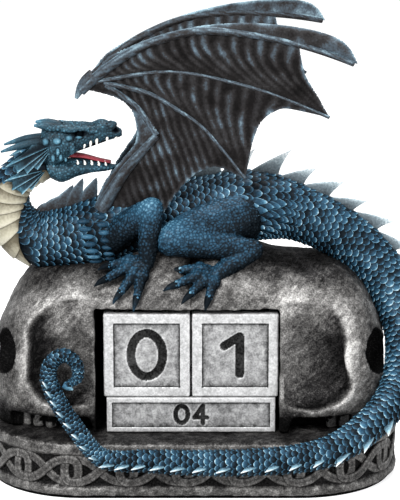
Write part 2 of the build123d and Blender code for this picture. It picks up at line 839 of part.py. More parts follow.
with BuildPart() as neck_spines:
    for position, height_share in neck_blade_shares:
        add_blade(
            back_plane(position, 0),
            neck_blade_length,
            height_share * neck_blade_height,
            spine_thickness,
        )
    add(dragon_neck.part, mode=Mode.SUBTRACT)

with BuildPart() as back_spines:
    add_spines(back_spine_shares)
    add(torso_form.part, mode=Mode.SUBTRACT)
    add(tail_root.part, mode=Mode.SUBTRACT)

with BuildPart() as tail_spines:
    add_spines(side_spine_shares)
    add_spines(front_spine_shares)
    add_spines(tip_spine_shares)
    add(tail_root.part, mode=Mode.SUBTRACT)
    add(tail_side.part, mode=Mode.SUBTRACT)
    add(tail_front.part, mode=Mode.SUBTRACT)
    add(tail_tip.part, mode=Mode.SUBTRACT)
    add(plinth.part, mode=Mode.SUBTRACT)

pieces = {
    "felt_base": felt_base,
    "plinth": plinth,
    "left_skull": left_skull,
    "right_skull": right_skull,
    "tens_cube": tens_cube,
    "units_cube": units_cube,
    "front_month_bar": front_month_bar,
    "middle_month_bar": middle_month_bar,
    "rear_month_bar": rear_month_bar,
    "dragon_head": dragon_head,
    "dragon_neck": dragon_neck,
    "lower_jaw": lower_jaw,
    "tongue": tongue,
    "upper_teeth": upper_teeth,
    "lower_teeth": lower_teeth,
    "horns": horns,
    "near_cheek_fins": near_cheek_fins,
    "far_cheek_fins": far_cheek_fins,
    "near_wing": near_wing,
    "far_wing": far_wing,
    "dragon_torso": dragon_torso,
    "near_foreleg": near_foreleg,
    "far_foreleg": far_foreleg,
    "near_hind_leg": near_hind_leg,
    "far_hind_leg": far_hind_leg,
    "neck_spines": neck_spines,
    "back_spines": back_spines,
    "tail_spines": tail_spines,
    "tail_root": tail_root,
    "tail_side": tail_side,
    "tail_front": tail_front,
    "tail_tip": tail_tip,
}
os.makedirs("parts", exist_ok=True)
for piece_name, piece in pieces.items():
    piece.part.label = piece_name
    export_step(piece.part, "parts/" + piece_name + ".step")
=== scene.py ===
import bpy
import numpy as np
from math import cos, pi, radians, sin
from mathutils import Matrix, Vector, noise


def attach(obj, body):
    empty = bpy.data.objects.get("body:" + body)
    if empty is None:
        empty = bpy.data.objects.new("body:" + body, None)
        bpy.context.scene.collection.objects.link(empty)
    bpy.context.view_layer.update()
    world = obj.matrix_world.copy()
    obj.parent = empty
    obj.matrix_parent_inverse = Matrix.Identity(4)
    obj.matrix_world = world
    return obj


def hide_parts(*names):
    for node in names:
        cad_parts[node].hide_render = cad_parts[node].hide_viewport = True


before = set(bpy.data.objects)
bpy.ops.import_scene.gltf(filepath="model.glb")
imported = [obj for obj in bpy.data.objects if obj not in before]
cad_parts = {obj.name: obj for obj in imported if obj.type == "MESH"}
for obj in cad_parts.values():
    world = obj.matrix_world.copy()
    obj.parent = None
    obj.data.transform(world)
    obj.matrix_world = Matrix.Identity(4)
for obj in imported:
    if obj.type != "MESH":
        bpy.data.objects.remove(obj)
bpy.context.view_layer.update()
rng = np.random.default_rng(7)

# Millimetres in this script; metres in the scene
MM = 0.001

# Driving sizes, the same as in the CAD model
plinth_length = 163.0
plinth_depth = 84.0
plinth_corner_radius = 40.0
felt_thickness = 1.2
bottom_rim_height = 3.5
band_height = 13.3
top_rim_height = 4.5
band_inset = 1.6
cube_border = 3.9
bar_border = 2.1
skull_half_length = 75.0
skull_half_depth = 33.5
skull_height = 67.5
dragon_half_reach = 78.0
body_radius = 14.0
neck_rise = 35.0
head_length = 33.0
head_half_width = 8.0
head_height = 29.0
horn_length = 18.0
fin_length = 24.0
fang_length = 2.9
fang_radius = 0.75
leg_radius = 7.0
claw_length = 4.6
wing_length = 111.0
wing_height = 88.0
wing_root_gap = 11.0
wing_tip_gap = 44.0
wing_bow_share = 0.21
wing_sheet = 1.6
wing_bone_radius = 2.3
spine_length = 9.5
spine_height = 8.5
spine_thickness = 2.0
neck_blade_length = 5.0
neck_blade_height = 10.5
orbit_radius = 8.4
tooth_radius = 1.9

# Places that follow
plinth_half_depth = plinth_depth / 2
plinth_top = felt_thickness + bottom_rim_height + band_height + top_rim_height
skull_top = plinth_top + skull_height
head_base_x = -0.733 * dragon_half_reach
head_base_z = skull_top + 0.72 * neck_rise
head_middle_y = -0.18 * skull_half_depth
wing_start_x = -0.577 * dragon_half_reach
wing_start_z = skull_top + 0.09 * wing_height

# The photo looks down by this much; surfaces get painted light where they face the upper left of it and
# painted shade where they face away
view_tilt = radians(14)
painted_light_direction = np.array((-0.35, -0.45, 0.82))


# Materials

def fill(tree, made, inputs):
    """Sets a node's inputs to values, or links them to outputs of other nodes."""
    for key, value in inputs.items():
        if isinstance(value, bpy.types.NodeSocket):
            tree.links.new(value, made.inputs[key])
        else:
            made.inputs[key].default_value = value


def add_node(tree, kind, inputs=None, **settings):
    """A new node with its settings and inputs."""
    made = tree.nodes.new(kind)
    for key, value in settings.items():
        setattr(made, key, value)
    fill(tree, made, inputs or {})
    return made


def add_math(tree, operation, *inputs):
    """The result of a sum with values or other nodes' outputs."""
    return add_node(tree, "ShaderNodeMath", dict(enumerate(inputs)), operation=operation).outputs[0]


patch_detail = 4.0
grain_detail = 2.0
bump_depth = 0.0004


def paint(name, stops, patch_scale=90.0, patch=0.3, grain_scale=900.0, grain=0.16,
          rough=(0.42, 0.7), metallic=0.0, bump=0.25, specular=0.5):
    """Antiqued paint: dark in the hollows and light dry-brush on what stands out, from a tone that also
    carries painted light and shade.
    """
    made = bpy.data.materials.new(name)
    made.use_nodes = True
    tree = made.node_tree
    place = add_node(tree, "ShaderNodeTexCoord").outputs["Object"]
    tone = add_node(tree, "ShaderNodeAttribute", attribute_name="worn").outputs["Fac"]
    for scale, detail, amount in ((patch_scale, patch_detail, patch), (grain_scale, grain_detail, grain)):
        specks = add_node(tree, "ShaderNodeTexNoise", {"Vector": place, "Scale": scale, "Detail": detail})
        centred = add_math(tree, "MULTIPLY_ADD", specks.outputs["Fac"], 2 * amount, -amount)
        tone = add_math(tree, "ADD", tone, centred)
    ramp = add_node(tree, "ShaderNodeValToRGB", {"Fac": tone})
    while len(ramp.color_ramp.elements) < len(stops):
        ramp.color_ramp.elements.new(0.5)
    for element, (position, *colour) in zip(ramp.color_ramp.elements, stops):
        element.position = position
        element.color = (*colour, 1.0)
    relief = add_node(tree, "ShaderNodeBump",
                      {"Strength": bump, "Distance": bump_depth, "Height": specks.outputs["Fac"]})
    values = {"Base Color": ramp.outputs["Color"], "Metallic": metallic, "Normal": relief.outputs["Normal"]}
    for socket, low, high in (("Roughness", rough[1], rough[0]), ("Specular IOR Level", 0.0, specular)):
        shine = add_node(tree, "ShaderNodeMapRange", {"Value": tone, "To Min": low, "To Max": high})
        values[socket] = shine.outputs["Result"]
    fill(tree, tree.nodes["Principled BSDF"], values)
    return made


# Each paint's stops: tone, from dark hollow to bright edge, then red, green and blue
hide_paint = paint("hide", (
    (0, 0.002, 0.003, 0.004), (0.30, 0.004, 0.008, 0.012), (0.52, 0.012, 0.045, 0.080),
    (0.70, 0.034, 0.110, 0.180), (0.86, 0.130, 0.280, 0.380), (1, 0.470, 0.630, 0.710),
), patch_scale=70.0, patch=0.27, grain_scale=1400.0, rough=(0.36, 0.6), specular=0.30)
head_paint = paint("head_hide", (
    (0, 0.002, 0.003, 0.005), (0.32, 0.006, 0.012, 0.017), (0.55, 0.022, 0.060, 0.086),
    (0.76, 0.080, 0.215, 0.300), (1, 0.440, 0.640, 0.710),
), patch_scale=150.0, patch=0.24, grain_scale=1500.0, rough=(0.35, 0.6), specular=0.32)
wing_paint = paint("membrane", (
    (0, 0.003, 0.003, 0.003), (0.28, 0.008, 0.007, 0.007), (0.50, 0.023, 0.022, 0.023),
    (0.72, 0.060, 0.085, 0.108), (1, 0.270, 0.400, 0.470),
), patch_scale=70.0, patch=0.14, grain_scale=1300.0, grain=0.18, rough=(0.42, 0.65), bump=0.35, specular=0.25)
stone_paint = paint("pewter_stone", (
    (0, 0.004, 0.004, 0.004), (0.26, 0.018, 0.017, 0.017), (0.50, 0.085, 0.082, 0.079),
    (0.70, 0.215, 0.209, 0.202), (0.88, 0.440, 0.430, 0.415), (1, 0.680, 0.665, 0.640),
), patch_scale=60.0, patch=0.14, grain_scale=1700.0, grain=0.36, rough=(0.34, 0.60), metallic=0.25,
    bump=0.6, specular=0.40)
silver_paint = paint("antiqued_silver", (
    (0, 0.006, 0.006, 0.006), (0.28, 0.045, 0.045, 0.045), (0.54, 0.200, 0.200, 0.201),
    (0.80, 0.440, 0.440, 0.440), (1, 0.660, 0.660, 0.660),
), patch_scale=70.0, patch=0.10, grain_scale=1500.0, grain=0.26, rough=(0.34, 0.55), metallic=0.3, bump=0.35)
blade_paint = paint("blade_grey", (
    (0, 0.008, 0.009, 0.011), (0.35, 0.032, 0.042, 0.050), (0.65, 0.120, 0.155, 0.175),
    (0.85, 0.330, 0.400, 0.430), (1, 0.700, 0.750, 0.770),
), patch=0.14, grain_scale=1300.0, grain=0.22)
spine_paint = paint("spine_tips", (
    (0, 0.004, 0.006, 0.009), (0.40, 0.018, 0.040, 0.062), (0.70, 0.160, 0.300, 0.380),
    (1, 0.800, 0.850, 0.870),
), patch=0.12, grain_scale=1300.0, grain=0.20)
throat_paint = paint("throat_plates", (
    (0, 0.018, 0.015, 0.010), (0.35, 0.120, 0.105, 0.072), (0.65, 0.400, 0.375, 0.285),
    (1, 0.640, 0.610, 0.500),
), patch=0.16, grain=0.14)
tooth_paint = paint("tooth_white", (
    (0, 0.300, 0.270, 0.200), (0.50, 0.760, 0.740, 0.680), (1, 0.900, 0.890, 0.860),
), patch=0.15, grain=0.10, rough=(0.25, 0.4), bump=0.1)
tongue_paint = paint("tongue", (
    (0, 0.050, 0.006, 0.010), (0.50, 0.270, 0.045, 0.058), (1, 0.480, 0.140, 0.150),
), patch=0.25, grain=0.15, rough=(0.25, 0.4), bump=0.2)
felt_paint = paint("black_felt", (
    (0, 0.004, 0.004, 0.004), (1, 0.030, 0.030, 0.032),
), patch=0.4, grain_scale=2600.0, grain=0.5, rough=(0.9, 1.0), bump=0.8, specular=0.1)


# Curves and noise

def ring_turns(count):
    """Turns spread evenly round a circle."""
    return np.linspace(0, 2 * pi, count, endpoint=False)


def unit(values):
    """Directions with a length of one."""
    return values / np.linalg.norm(values, axis=-1, keepdims=True)


def fractal(points, size, detail=3):
    """Noise in lumps of a given size, at each point."""
    return np.array([noise.fractal(Vector(point) / size, 0.8, 2.0, detail) for point in points])


def grid_faces(rows, columns):
    """Corner numbers of the cells of a grid that is counted row by row."""
    corner = (np.arange(rows - 1)[:, None] * columns + np.arange(columns - 1)[None]).ravel()
    return np.stack([corner, corner + 1, corner + columns + 1, corner + columns], axis=1)


def smooth_rows(rows, rounds):
    """Rows on a smooth curve, with one more halfway along each span in every round."""
    rows = np.asarray(rows, float)
    for _ in range(rounds):
        before = np.vstack([rows[:1], rows[:-2]])
        after = np.vstack([rows[2:], rows[-1:]])
        smooth = np.empty((2 * len(rows) - 1, rows.shape[1]))
        smooth[0::2] = rows
        smooth[1::2] = (9 * (rows[:-1] + rows[1:]) - before - after) / 16
        rows = smooth
    return rows


def nearest_on(points, line):
    """Nearest place on a line of straight spans and its distance, for each point."""
    best = np.full(len(points), np.inf)
    place = np.zeros_like(points)
    for first, second in zip(line[:-1], line[1:]):
        run = second - first
        share = np.clip(((points - first) @ run) / max(run @ run, 1e-9), 0, 1)
        foot = first + share[:, None] * run
        away = np.linalg.norm(points - foot, axis=1)
        closer = away < best
        best[closer] = away[closer]
        place[closer] = foot[closer]
    return place, best


def inside(points, outline):
    """True for points within an outline whose last point is its first."""
    result = np.zeros(len(points), bool)
    x, z = points.T
    for (x1, z1), (x2, z2) in zip(outline[:-1], outline[1:]):
        if z1 != z2:
            result ^= ((z1 > z) != (z2 > z)) & (x < (x2 - x1) * (z - z1) / (z2 - z1) + x1)
    return result


# Meshes

def new_object(name, data):
    """An object in the scene for a mesh, lamp or camera."""
    made = bpy.data.objects.new(name, data)
    bpy.context.scene.collection.objects.link(made)
    return made


def place_piece(name, points, faces, worn, nodes, material, body="figurine"):
    """A finished piece on its body, standing for its CAD nodes."""
    mesh = bpy.data.meshes.new(name)
    mesh.from_pydata((points * MM).tolist(), [], faces)
    mesh.polygons.foreach_set("use_smooth", np.ones(len(mesh.polygons), bool))
    worn = np.clip(worn, 0, 1).astype(np.float32)
    mesh.attributes.new("worn", "FLOAT", "POINT").data.foreach_set("value", worn)
    mesh.materials.append(material)
    mesh.update()
    made = new_object(name, mesh)
    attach(made, body)
    if nodes:
        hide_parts(*nodes)


class Shell:
    """Vertices in millimetres, faces and a tone of wear and painted light for each vertex, gathered for one
    piece.
    """

    def __init__(self):
        self.points, self.faces, self.worn, self.count = [], [], [], 0

    def add(self, points, faces, worn):
        self.faces.extend([tuple(index + self.count for index in face) for face in faces])
        self.points.append(points)
        self.worn.append(worn)
        self.count += len(points)

    def rings(self, rings, worn, close_ends=True):
        """Rings of equal size joined to one another, with one tone of wear and painted light, one a ring or
        one a point.
        """
        rings, worn = np.asarray(rings, float), np.asarray(worn, float)
        rows, around = rings.shape[:2]
        faces = []
        for row in range(rows - 1):
            for step in range(around):
                after = (step + 1) % around
                faces.append((row * around + step, row * around + after,
                              (row + 1) * around + after, (row + 1) * around + step))
        if close_ends:
            faces.append(tuple(range(around))[::-1])
            faces.append(tuple((rows - 1) * around + step for step in range(around)))
        if worn.ndim == 1:
            worn = worn[:, None]
        self.add(rings.reshape(-1, 3), faces, np.broadcast_to(worn, (rows, around)).ravel())

    def piece(self, name, nodes, slot, material):
        place_piece(name, np.concatenate(self.points), self.faces, np.concatenate(self.worn),
                    nodes, material)


class Path:
    """A round limb along a smooth centre line, with twist-free directions at every place."""

    def __init__(self, rows, rounds, first_side=(0, 1, 0)):
        rows = smooth_rows(rows, rounds)
        self.place, self.radius = rows[:, :3], rows[:, 3]
        steps = np.linalg.norm(np.diff(self.place, axis=0), axis=1)
        self.along = np.concatenate([[0], np.cumsum(steps)])
        self.length = self.along[-1]
        self.tangent = unit(np.gradient(self.place, axis=0))
        side = np.asarray(first_side, float)
        sides = []
        for row in self.tangent:
            side = unit(side - row * row.dot(side))
            sides.append(side)
        self.side = np.array(sides)
        self.up = np.cross(self.tangent, self.side)

    def at(self, values, along):
        return np.stack([np.interp(along, self.along, values[:, axis]) for axis in range(3)], axis=-1)

    def surface(self, along, turn, lift):
        """Points at a distance along, a turn about the line and a lift above the surface."""
        radius = np.interp(along, self.along, self.radius) + lift
        out = self.at(self.side, along) * np.cos(turn)[..., None]
        out = out + self.at(self.up, along) * np.sin(turn)[..., None]
        return self.at(self.place, along) + unit(out) * radius[..., None]

    def skin_rings(self, along, around, sink=0.0):
        """Rings of the limb's own skin."""
        return self.surface(along[:, None], ring_turns(around), -sink)


def add_cone(shell, points, radii, worn=(0, 0), around=12):
    """A pointed limb such as a tooth, horn or claw."""
    path = Path([(*point, radius) for point, radius in zip(points, radii)], 2, (0.2, 0.9, 0.3))
    tones = np.interp(path.along / path.length, np.linspace(0, 1, len(worn)), worn)
    shell.rings(path.skin_rings(path.along, around), tones)


def add_ellipsoid(shell, centre, radii, worn=0.5):
    """A round lump with its own three radii."""
    rings = []
    for tilt in np.linspace(-0.49 * pi, 0.49 * pi, 9):
        rings.append([centre + np.array(radii) * (cos(tilt) * cos(t), cos(tilt) * sin(t), sin(tilt))
                      for t in ring_turns(16)])
    shell.rings(rings, worn)


# Forms smoothed into one skin

def read_rows(items, key, width, kind=float):
    """A property of mesh elements as rows of numbers."""
    values = np.empty(len(items) * width, kind)
    items.foreach_get(key, values)
    return values.reshape(-1, width)


def skin(points, faces, voxel, rounds):
    """One smooth skin round all the forms, as vertices, normals, edges and faces in millimetres."""
    mesh = bpy.data.meshes.new("form")
    mesh.from_pydata((points * MM).tolist(), [], faces)
    form = new_object("form", mesh)
    form.modifiers.new("merge", "WELD").merge_threshold = 1e-6
    remesh = form.modifiers.new("remesh", "REMESH")
    remesh.mode = "VOXEL"
    remesh.voxel_size = voxel * MM
    soften = form.modifiers.new("soften", "SMOOTH")
    soften.iterations = rounds
    soften.factor = 0.5
    result = form.evaluated_get(bpy.context.evaluated_depsgraph_get()).to_mesh()
    where = read_rows(result.vertices, "co", 3) / MM
    normals = read_rows(result.vertices, "normal", 3)
    edges = read_rows(result.edges, "vertices", 2, int)
    polygons = [tuple(polygon.vertices) for polygon in result.polygons]
    bpy.data.objects.remove(form)
    bpy.data.meshes.remove(mesh)
    return where, normals, edges, polygons


def cad_mesh(node):
    """A CAD node's vertices in millimetres and its faces."""
    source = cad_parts[node]
    points = np.array([source.matrix_world @ vertex.co for vertex in source.data.vertices]) / MM
    return points, [tuple(polygon.vertices) for polygon in source.data.polygons]


def stand_out(points, normals, edges, rounds, reach):
    """How far each place stands out of the surface evened along its edges: nought is level."""
    level = points.copy()
    degree = np.bincount(edges.ravel(), minlength=len(points))[:, None]
    for _ in range(rounds):
        total = np.zeros_like(level)
        np.add.at(total, edges[:, 0], level[edges[:, 1]])
        np.add.at(total, edges[:, 1], level[edges[:, 0]])
        level = 0.5 * level + 0.5 * total / np.maximum(degree, 1)
    return ((points - level) * normals).sum(axis=1) / reach


def roughened(points, normals, amount, size, detail=3):
    """Points moved in and out by noise of a given size."""
    lumps = fractal(points, size, detail)
    return points + normals * (amount * lumps)[:, None], lumps


pebble_edge = 2.4


def pebbled(points, normals, size, height):
    """Small round scales pressed into a skin, and how high each place stands on its scale."""
    gaps = []
    for point in points:
        near, _ = noise.voronoi(Vector(point) / size)
        gaps.append(near[1] - near[0])
    dome = np.clip(np.array(gaps) * pebble_edge, 0, 1)
    return points + normals * (height * (dome - 0.5))[:, None], dome


# Dragon's centre line, as in the CAD model: x, y, z and radius as shares
front_path_shares = (
    (-0.718, -0.16, 0.994, 0.486), (-0.801, -0.16, 0.906, 0.490), (-0.881, -0.16, 0.734, 0.514),
    (-0.905, -0.15, 0.480, 0.590), (-0.855, -0.15, 0.235, 0.700), (-0.745, -0.14, 0.110, 0.790),
    (-0.595, -0.13, 0.125, 0.870), (-0.423, -0.12, 0.220, 0.930), (-0.192, -0.06, 0.290, 1.000),
    (0.064, 0.00, 0.386, 1.014), (0.315, 0.00, 0.457, 0.964),
)
tail_path_shares = (
    (0.536, 0.050, 1.139, 0.771), (0.768, 0.070, 1.036, 0.700), (0.949, 0.000, 0.889, 0.643),
    (1.050, -0.143, 0.711, 0.571), (1.065, -0.333, 0.556, 0.521), (1.012, -0.571, 0.411, 0.479),
    (0.875, -0.857, 0.311, 0.436), (0.659, -1.048, 0.221, 0.393), (0.364, -1.095, 0.188, 0.357),
    (0.045, -1.095, 0.182, 0.336), (-0.227, -1.090, 0.190, 0.298), (-0.428, -1.075, 0.199, 0.257),
    (-0.551, -1.015, 0.312, 0.250), (-0.648, -0.929, 0.430, 0.245), (-0.694, -0.869, 0.527, 0.230),
    (-0.669, -0.838, 0.594, 0.212), (-0.610, -0.833, 0.616, 0.196), (-0.556, -0.833, 0.577, 0.178),
    (-0.556, -0.833, 0.514, 0.150), (-0.615, -0.833, 0.484, 0.085),
)
body_rows = []
for x_share, y_share, z_share, radius_share in front_path_shares:
    body_rows.append((x_share * dragon_half_reach, y_share * skull_half_depth,
                      skull_top + z_share * neck_rise, radius_share * body_radius))
for x_share, y_share, z_share, radius_share in tail_path_shares:
    body_rows.append((x_share * dragon_half_reach, y_share * plinth_half_depth,
                      z_share * skull_top, radius_share * body_radius))
body_rounds = 3
body = Path(body_rows, body_rounds)


def row_place(row):
    """Distance along the body of a row of its tables, counted in half rows as in the CAD model."""
    return np.interp(row * 2 ** (body_rounds - 1), np.arange(len(body.along)), body.along)


neck_end, torso_end, root_end, side_end, front_end = (row_place(row) for row in (14, 20, 28, 36, 44))
rump_start, rump_end = row_place(18.5), row_place(21.6)
skin_step = 1.5
skin_sink = 0.3
tail_leaf_length = 3.6
tail_leaf_radii = (1.3, 1.3, 0.2)
tail_leaf_direction = np.array((0.88, -0.10, -0.46))

# Throat plates: places along the body, then the turn of their middle and half their width there
throat_places = [row_place(row) for row in (0.0, 4.0, 6.0, 8.0, 9.2, 10.2)]
throat_turns = np.array((0.62, 0.86, 1.10, 1.30, 1.42, 1.50)) * pi
throat_half_turns = np.array((0.26, 0.32, 0.36, 0.33, 0.22, 0.08)) * pi
throat_pitch = 4.2
plate_steps = (-0.35, 0.15, 0.60, 0.95, 1.02)
plate_climbs = (-0.10, 0.25, 0.55, 0.95, 0.15)

# One scale: places along it and across it, and its half width at each place along
scale_pitch = 2.4
scale_width = 3.3
scale_lift = 0.95
scale_reach = 1.5
scale_sink = 0.25
scale_overlap = 1.08
scale_steps = np.array([-0.60, -0.15, 0.25, 0.50, 0.66, 0.74])
scale_half_widths = np.array([0.50, 0.56, 0.53, 0.42, 0.27, 0.10])
scale_across = np.array([-1.0, -0.82, -0.4, 0.4, 0.82, 1.0])
fewest_scales = 8
# How strongly the scales get painted light and shade by which way they face
painted_light_gain = 0.13
shoulder_rows = (13.1, 13.9)
shoulder_bands = 7


def throat_place(along):
    """Turn of the throat's middle and half its width, in radians."""
    return np.interp(along, throat_places, throat_turns), np.interp(along, throat_places, throat_half_turns)


def on_throat(along, turn):
    """True where throat plates take the place of scales."""
    middle, half = throat_place(along)
    away = abs((turn - middle + pi) % (2 * pi) - pi)
    return along < throat_places[-1] and away < half * 0.92


def rump_ruffle(along, turn):
    """Scales stand up like flames behind the thighs."""
    share = (along - rump_start) / (rump_end - rump_start)
    if not 0 < share < 1:
        return 0.0
    return (1 - (2 * share - 1) ** 2) * abs(cos(turn)) ** 2 * (sin(turn) < 0.45)


def add_scales(shell, start, end, small):
    """Rows of overlapping scales that point along the body, each with a pale free edge."""
    pitch, width, lift = scale_pitch * small, scale_width * small, scale_lift * small
    rows = max(int((end - start) / pitch), 1)
    places = []
    for row in range(rows):
        along = start + (row + 0.5) * (end - start) / rows
        radius = np.interp(along, body.along, body.radius)
        count = max(int(round(2 * pi * radius / width)), fewest_scales)
        for turn in (np.arange(count) + 0.5 * (row % 2)) * 2 * pi / count:
            turn = turn % (2 * pi)
            if not on_throat(along, turn):
                extra = rump_ruffle(along, turn)
                rise = lift * (1 + 1.4 * extra) * min(1.0, 0.45 + radius / 12)
                places.append((along, turn, 2 * pi / count, pitch * (1 + 0.6 * extra), rise, extra))
    along, turn, spread, reach, rise, extra = np.array(places).T[:, :, None, None]
    each = (len(places), 1, 1)
    along = along + rng.uniform(-0.15, 0.15, each)
    turn = turn + rng.uniform(-0.02, 0.02, each)
    rise = rise * rng.uniform(0.85, 1.15, each)
    share = scale_steps[None, :, None]
    across = scale_across[None, None, :]
    wide = scale_half_widths[None, :, None] * (1 - 0.45 * extra * np.clip(share, 0, 1))
    along = np.clip(along + share * scale_reach * reach + 0 * across, 0, body.length)
    turn = turn + across * wide * spread * scale_overlap
    climb = (share - scale_steps[0]) / (scale_steps[-1] - scale_steps[0])
    dome = 1 - 0.75 * across ** 2
    points = body.surface(along, turn, -scale_sink + rise * climb * (0.35 + 0.65 * dome))
    tint = rng.uniform(-0.13, 0.13, each)
    out = unit(points - body.at(body.place, along))
    # Scales darker toward their covered base as painted shade, lighter facing the upper left and darker
    # facing away as painted light and shade; the pale free edge is dry-brushed paint
    tone = 0.52 * climb ** 1.5 + tint + 0.10 * extra + painted_light_gain * (out @ painted_light_direction)
    edge = np.clip(np.maximum((np.abs(across) - 0.82) / 0.18, (share - 0.58) / 0.16), 0, 1)
    edge = edge * np.clip((share + 0.15) / 0.4, 0, 1)
    worn = tone + (0.96 + tint - tone) * 0.80 * edge
    steps, columns = len(scale_steps), len(scale_across)
    starts = np.arange(len(places)) * steps * columns
    faces = grid_faces(steps, columns)[None] + starts[:, None, None]
    shell.add(points.reshape(-1, 3), faces.reshape(-1, 4).tolist(), worn.ravel())


def add_throat(shell):
    """Broad overlapping plates from the jaw down to the chest."""
    end = throat_places[-1]
    across = np.linspace(-1, 1, 13)
    faces = grid_faces(len(plate_steps), len(across)).tolist()
    for start in np.arange(1.0, end - throat_pitch, throat_pitch):
        points, worn = [], []
        tint = rng.uniform(-0.08, 0.08)
        for step, climb in zip(plate_steps, plate_climbs):
            along = np.clip(start + throat_pitch * (step - 0.10 * across ** 2), 0, end)
            middle, half = throat_place(along)
            lift = 0.15 + 0.8 * climb * (1 - 0.55 * across ** 4)
            points.append(body.surface(along, middle + across * half, lift))
            worn.append(0.28 + 0.55 * max(climb, 0) - 0.30 * np.abs(across) ** 6 + tint)
        shell.add(np.concatenate(points), faces, np.concatenate(worn))


def add_shoulder_bands(shell):
    """Stacked bands in front of each foreleg."""
    for column, row in enumerate(shoulder_rows):
        for order in range(shoulder_bands):
            for flip in (1, -1):
                turn = pi / 2 + flip * (0.30 + 0.075 * order) * pi
                spot = body.surface(np.array(row_place(row)), np.array(turn), 0.3)
                add_ellipsoid(shell, spot, (2.6 - 0.4 * column, 1.2, 1.0), 0.50 + 0.08 * (order % 3))


def build_body():
    """Neck, torso and the four tail castings, each with its own scales, smaller toward the tip."""
    stretches = (
        ("scaled_neck", "dragon_neck", 0.0, neck_end),
        ("scaled_torso", "dragon_torso", neck_end, torso_end),
        ("scaled_tail_root", "tail_root", torso_end, root_end),
        ("scaled_tail_side", "tail_side", root_end, side_end),
        ("scaled_tail_front", "tail_front", side_end, front_end),
        ("scaled_tail_tip", "tail_tip", front_end, body.length),
    )
    for name, node, start, end in stretches:
        shell = Shell()
        along = np.linspace(start, end, max(int((end - start) / skin_step), 3))
        shell.rings(body.skin_rings(along, 24, skin_sink), 0.08)
        small = np.interp(start, (0, root_end, side_end, front_end), (1.0, 0.97, 0.86, 0.62))
        add_scales(shell, start, end, small)
        if node == "dragon_torso":
            add_shoulder_bands(shell)
        if node == "tail_tip":
            root = body.at(body.place, np.array(body.length))
            ends = [root + share * tail_leaf_length * tail_leaf_direction for share in (-0.2, 0.4, 1.0)]
            add_cone(shell, ends, tail_leaf_radii, [0.66, 0.76, 0.92])
        shell.piece(name, [node], "scaled_hide", hide_paint)
    throat = Shell()
    add_throat(throat)
    throat.piece("throat_plates", [], "ivory", throat_paint)


# Spines: first and last row, step, lean as a share of a half turn, length share and height shares
spine_rows = {
    "back": (16.15, 27.65, 1.0, 0.0, 1.30, 1.40, 0.72),
    "side": (28.5, 35.6, 1.0, 0.06, 0.70, 0.66, 0.42),
    "front": (36.3, 43.7, 0.72, 0.13, 0.46, 0.46, 0.40),
    "tip": (44.3, 49.2, 0.7, 0.14, 0.28, 0.34, 0.22),
}
first_spine_share = 1.4
second_spine_share = 0.85
spine_root_worn = 0.2
neck_blade_shares = ((9.2, 0.70), (10.2, 0.95), (11.3, 1.15), (12.4, 1.20), (13.4, 1.00))


def spine_root(row, lean):
    """Root of a spine on the back with the directions along and out of it."""
    along = np.array(row_place(row))
    turn = np.array(pi / 2 + lean * pi)
    root = body.surface(along, turn, -0.06 * np.interp(along, body.along, body.radius))
    return root, unit(body.at(body.tangent, along)), unit(root - body.at(body.place, along))


def add_blade(shell, root, along, up, length, height, thickness, tip_worn):
    """A pointed spine that leans back, with a rounded section and a ridge."""
    sideways = np.cross(along, up)
    turns = ring_turns(12)
    rings, worn = [], []
    for share in np.linspace(0, 1, 9):
        middle = (0.75 * share ** 1.5) * length
        half = 0.5 * length * max(1 - share, 0.02) ** 0.85
        thick = 0.5 * thickness * max(1 - share, 0.03) ** 0.6
        rise = (-0.28 + 1.28 * share) * height
        rings.append([root + along * (middle + half * cos(t)) + sideways * thick * sin(t) + up * rise
                      for t in turns])
        tone = spine_root_worn + (tip_worn - spine_root_worn) * share ** 1.2
        worn.append(tone + 0.25 * np.abs(np.cos(turns)) ** 6)
    shell.rings(rings, worn)


def add_spine_row(shell, key, tip_worn, small=1.0):
    """A row of spines that shrinks toward the tail, every second one smaller by a share."""
    first, last, step, lean, length_share, start_share, end_share = spine_rows[key]
    count = int((last - first) / step) + 1
    for index in range(count):
        height_share = start_share + (end_share - start_share) * index / max(count - 1, 1)
        size = small if index % 2 else 1.0
        grown = first_spine_share if key == "back" and index == 0 else 1.0
        length = length_share * spine_length * (0.75 + 0.5 * size) * grown
        height = height_share * spine_height * size * grown
        thickness = spine_thickness * (0.7 + 0.6 * height_share)
        add_blade(shell, *spine_root(first + index * step, lean), length, height, thickness, tip_worn)


def add_leaf(shell, root, direction, sideways, length, width, thickness):
    """A broad pointed leaf with a ridge along its middle."""
    flat = np.cross(direction, sideways)
    turns = ring_turns(12)
    rings, worn = [], []
    for share in np.linspace(0, 1, 11):
        bulge = 0.80 + 0.45 * sin(pi * min(1.3 * share, 1))
        half = 0.5 * width * bulge * max(1 - share ** 5, 0.03) ** 0.8
        thick = 0.5 * thickness * (1 - 0.75 * share)
        middle = root + direction * (share * 1.2 - 0.2) * length
        rings.append([middle + flat * half * cos(t) + sideways * thick * sin(t) for t in turns])
        worn.append(0.42 + 0.24 * share + 0.34 * np.abs(np.cos(turns)) ** 4 - 0.16 * (share < 0.2))
    shell.rings(rings, worn)


def build_spines():
    """Leaf blades on the neck and spines along the back and tail."""
    neck, back, tail = Shell(), Shell(), Shell()
    for row, height_share in neck_blade_shares:
        root, tangent, out = spine_root(row, 0.0)
        add_leaf(neck, root, unit(0.80 * out + 0.60 * tangent), unit(np.cross(tangent, out)),
                 height_share * neck_blade_height, 0.95 * neck_blade_length, 1.1 * spine_thickness)
    neck.piece("neck_blades", ["neck_spines"], "horn_grey", wing_paint)
    add_spine_row(back, "back", 1.1, second_spine_share)
    back.piece("back_blades", ["back_spines"], "horn_grey", blade_paint)
    for key in ("side", "front", "tip"):
        add_spine_row(tail, key, 0.95)
    tail.piece("tail_blades", ["tail_spines"], "horn_grey", spine_paint)


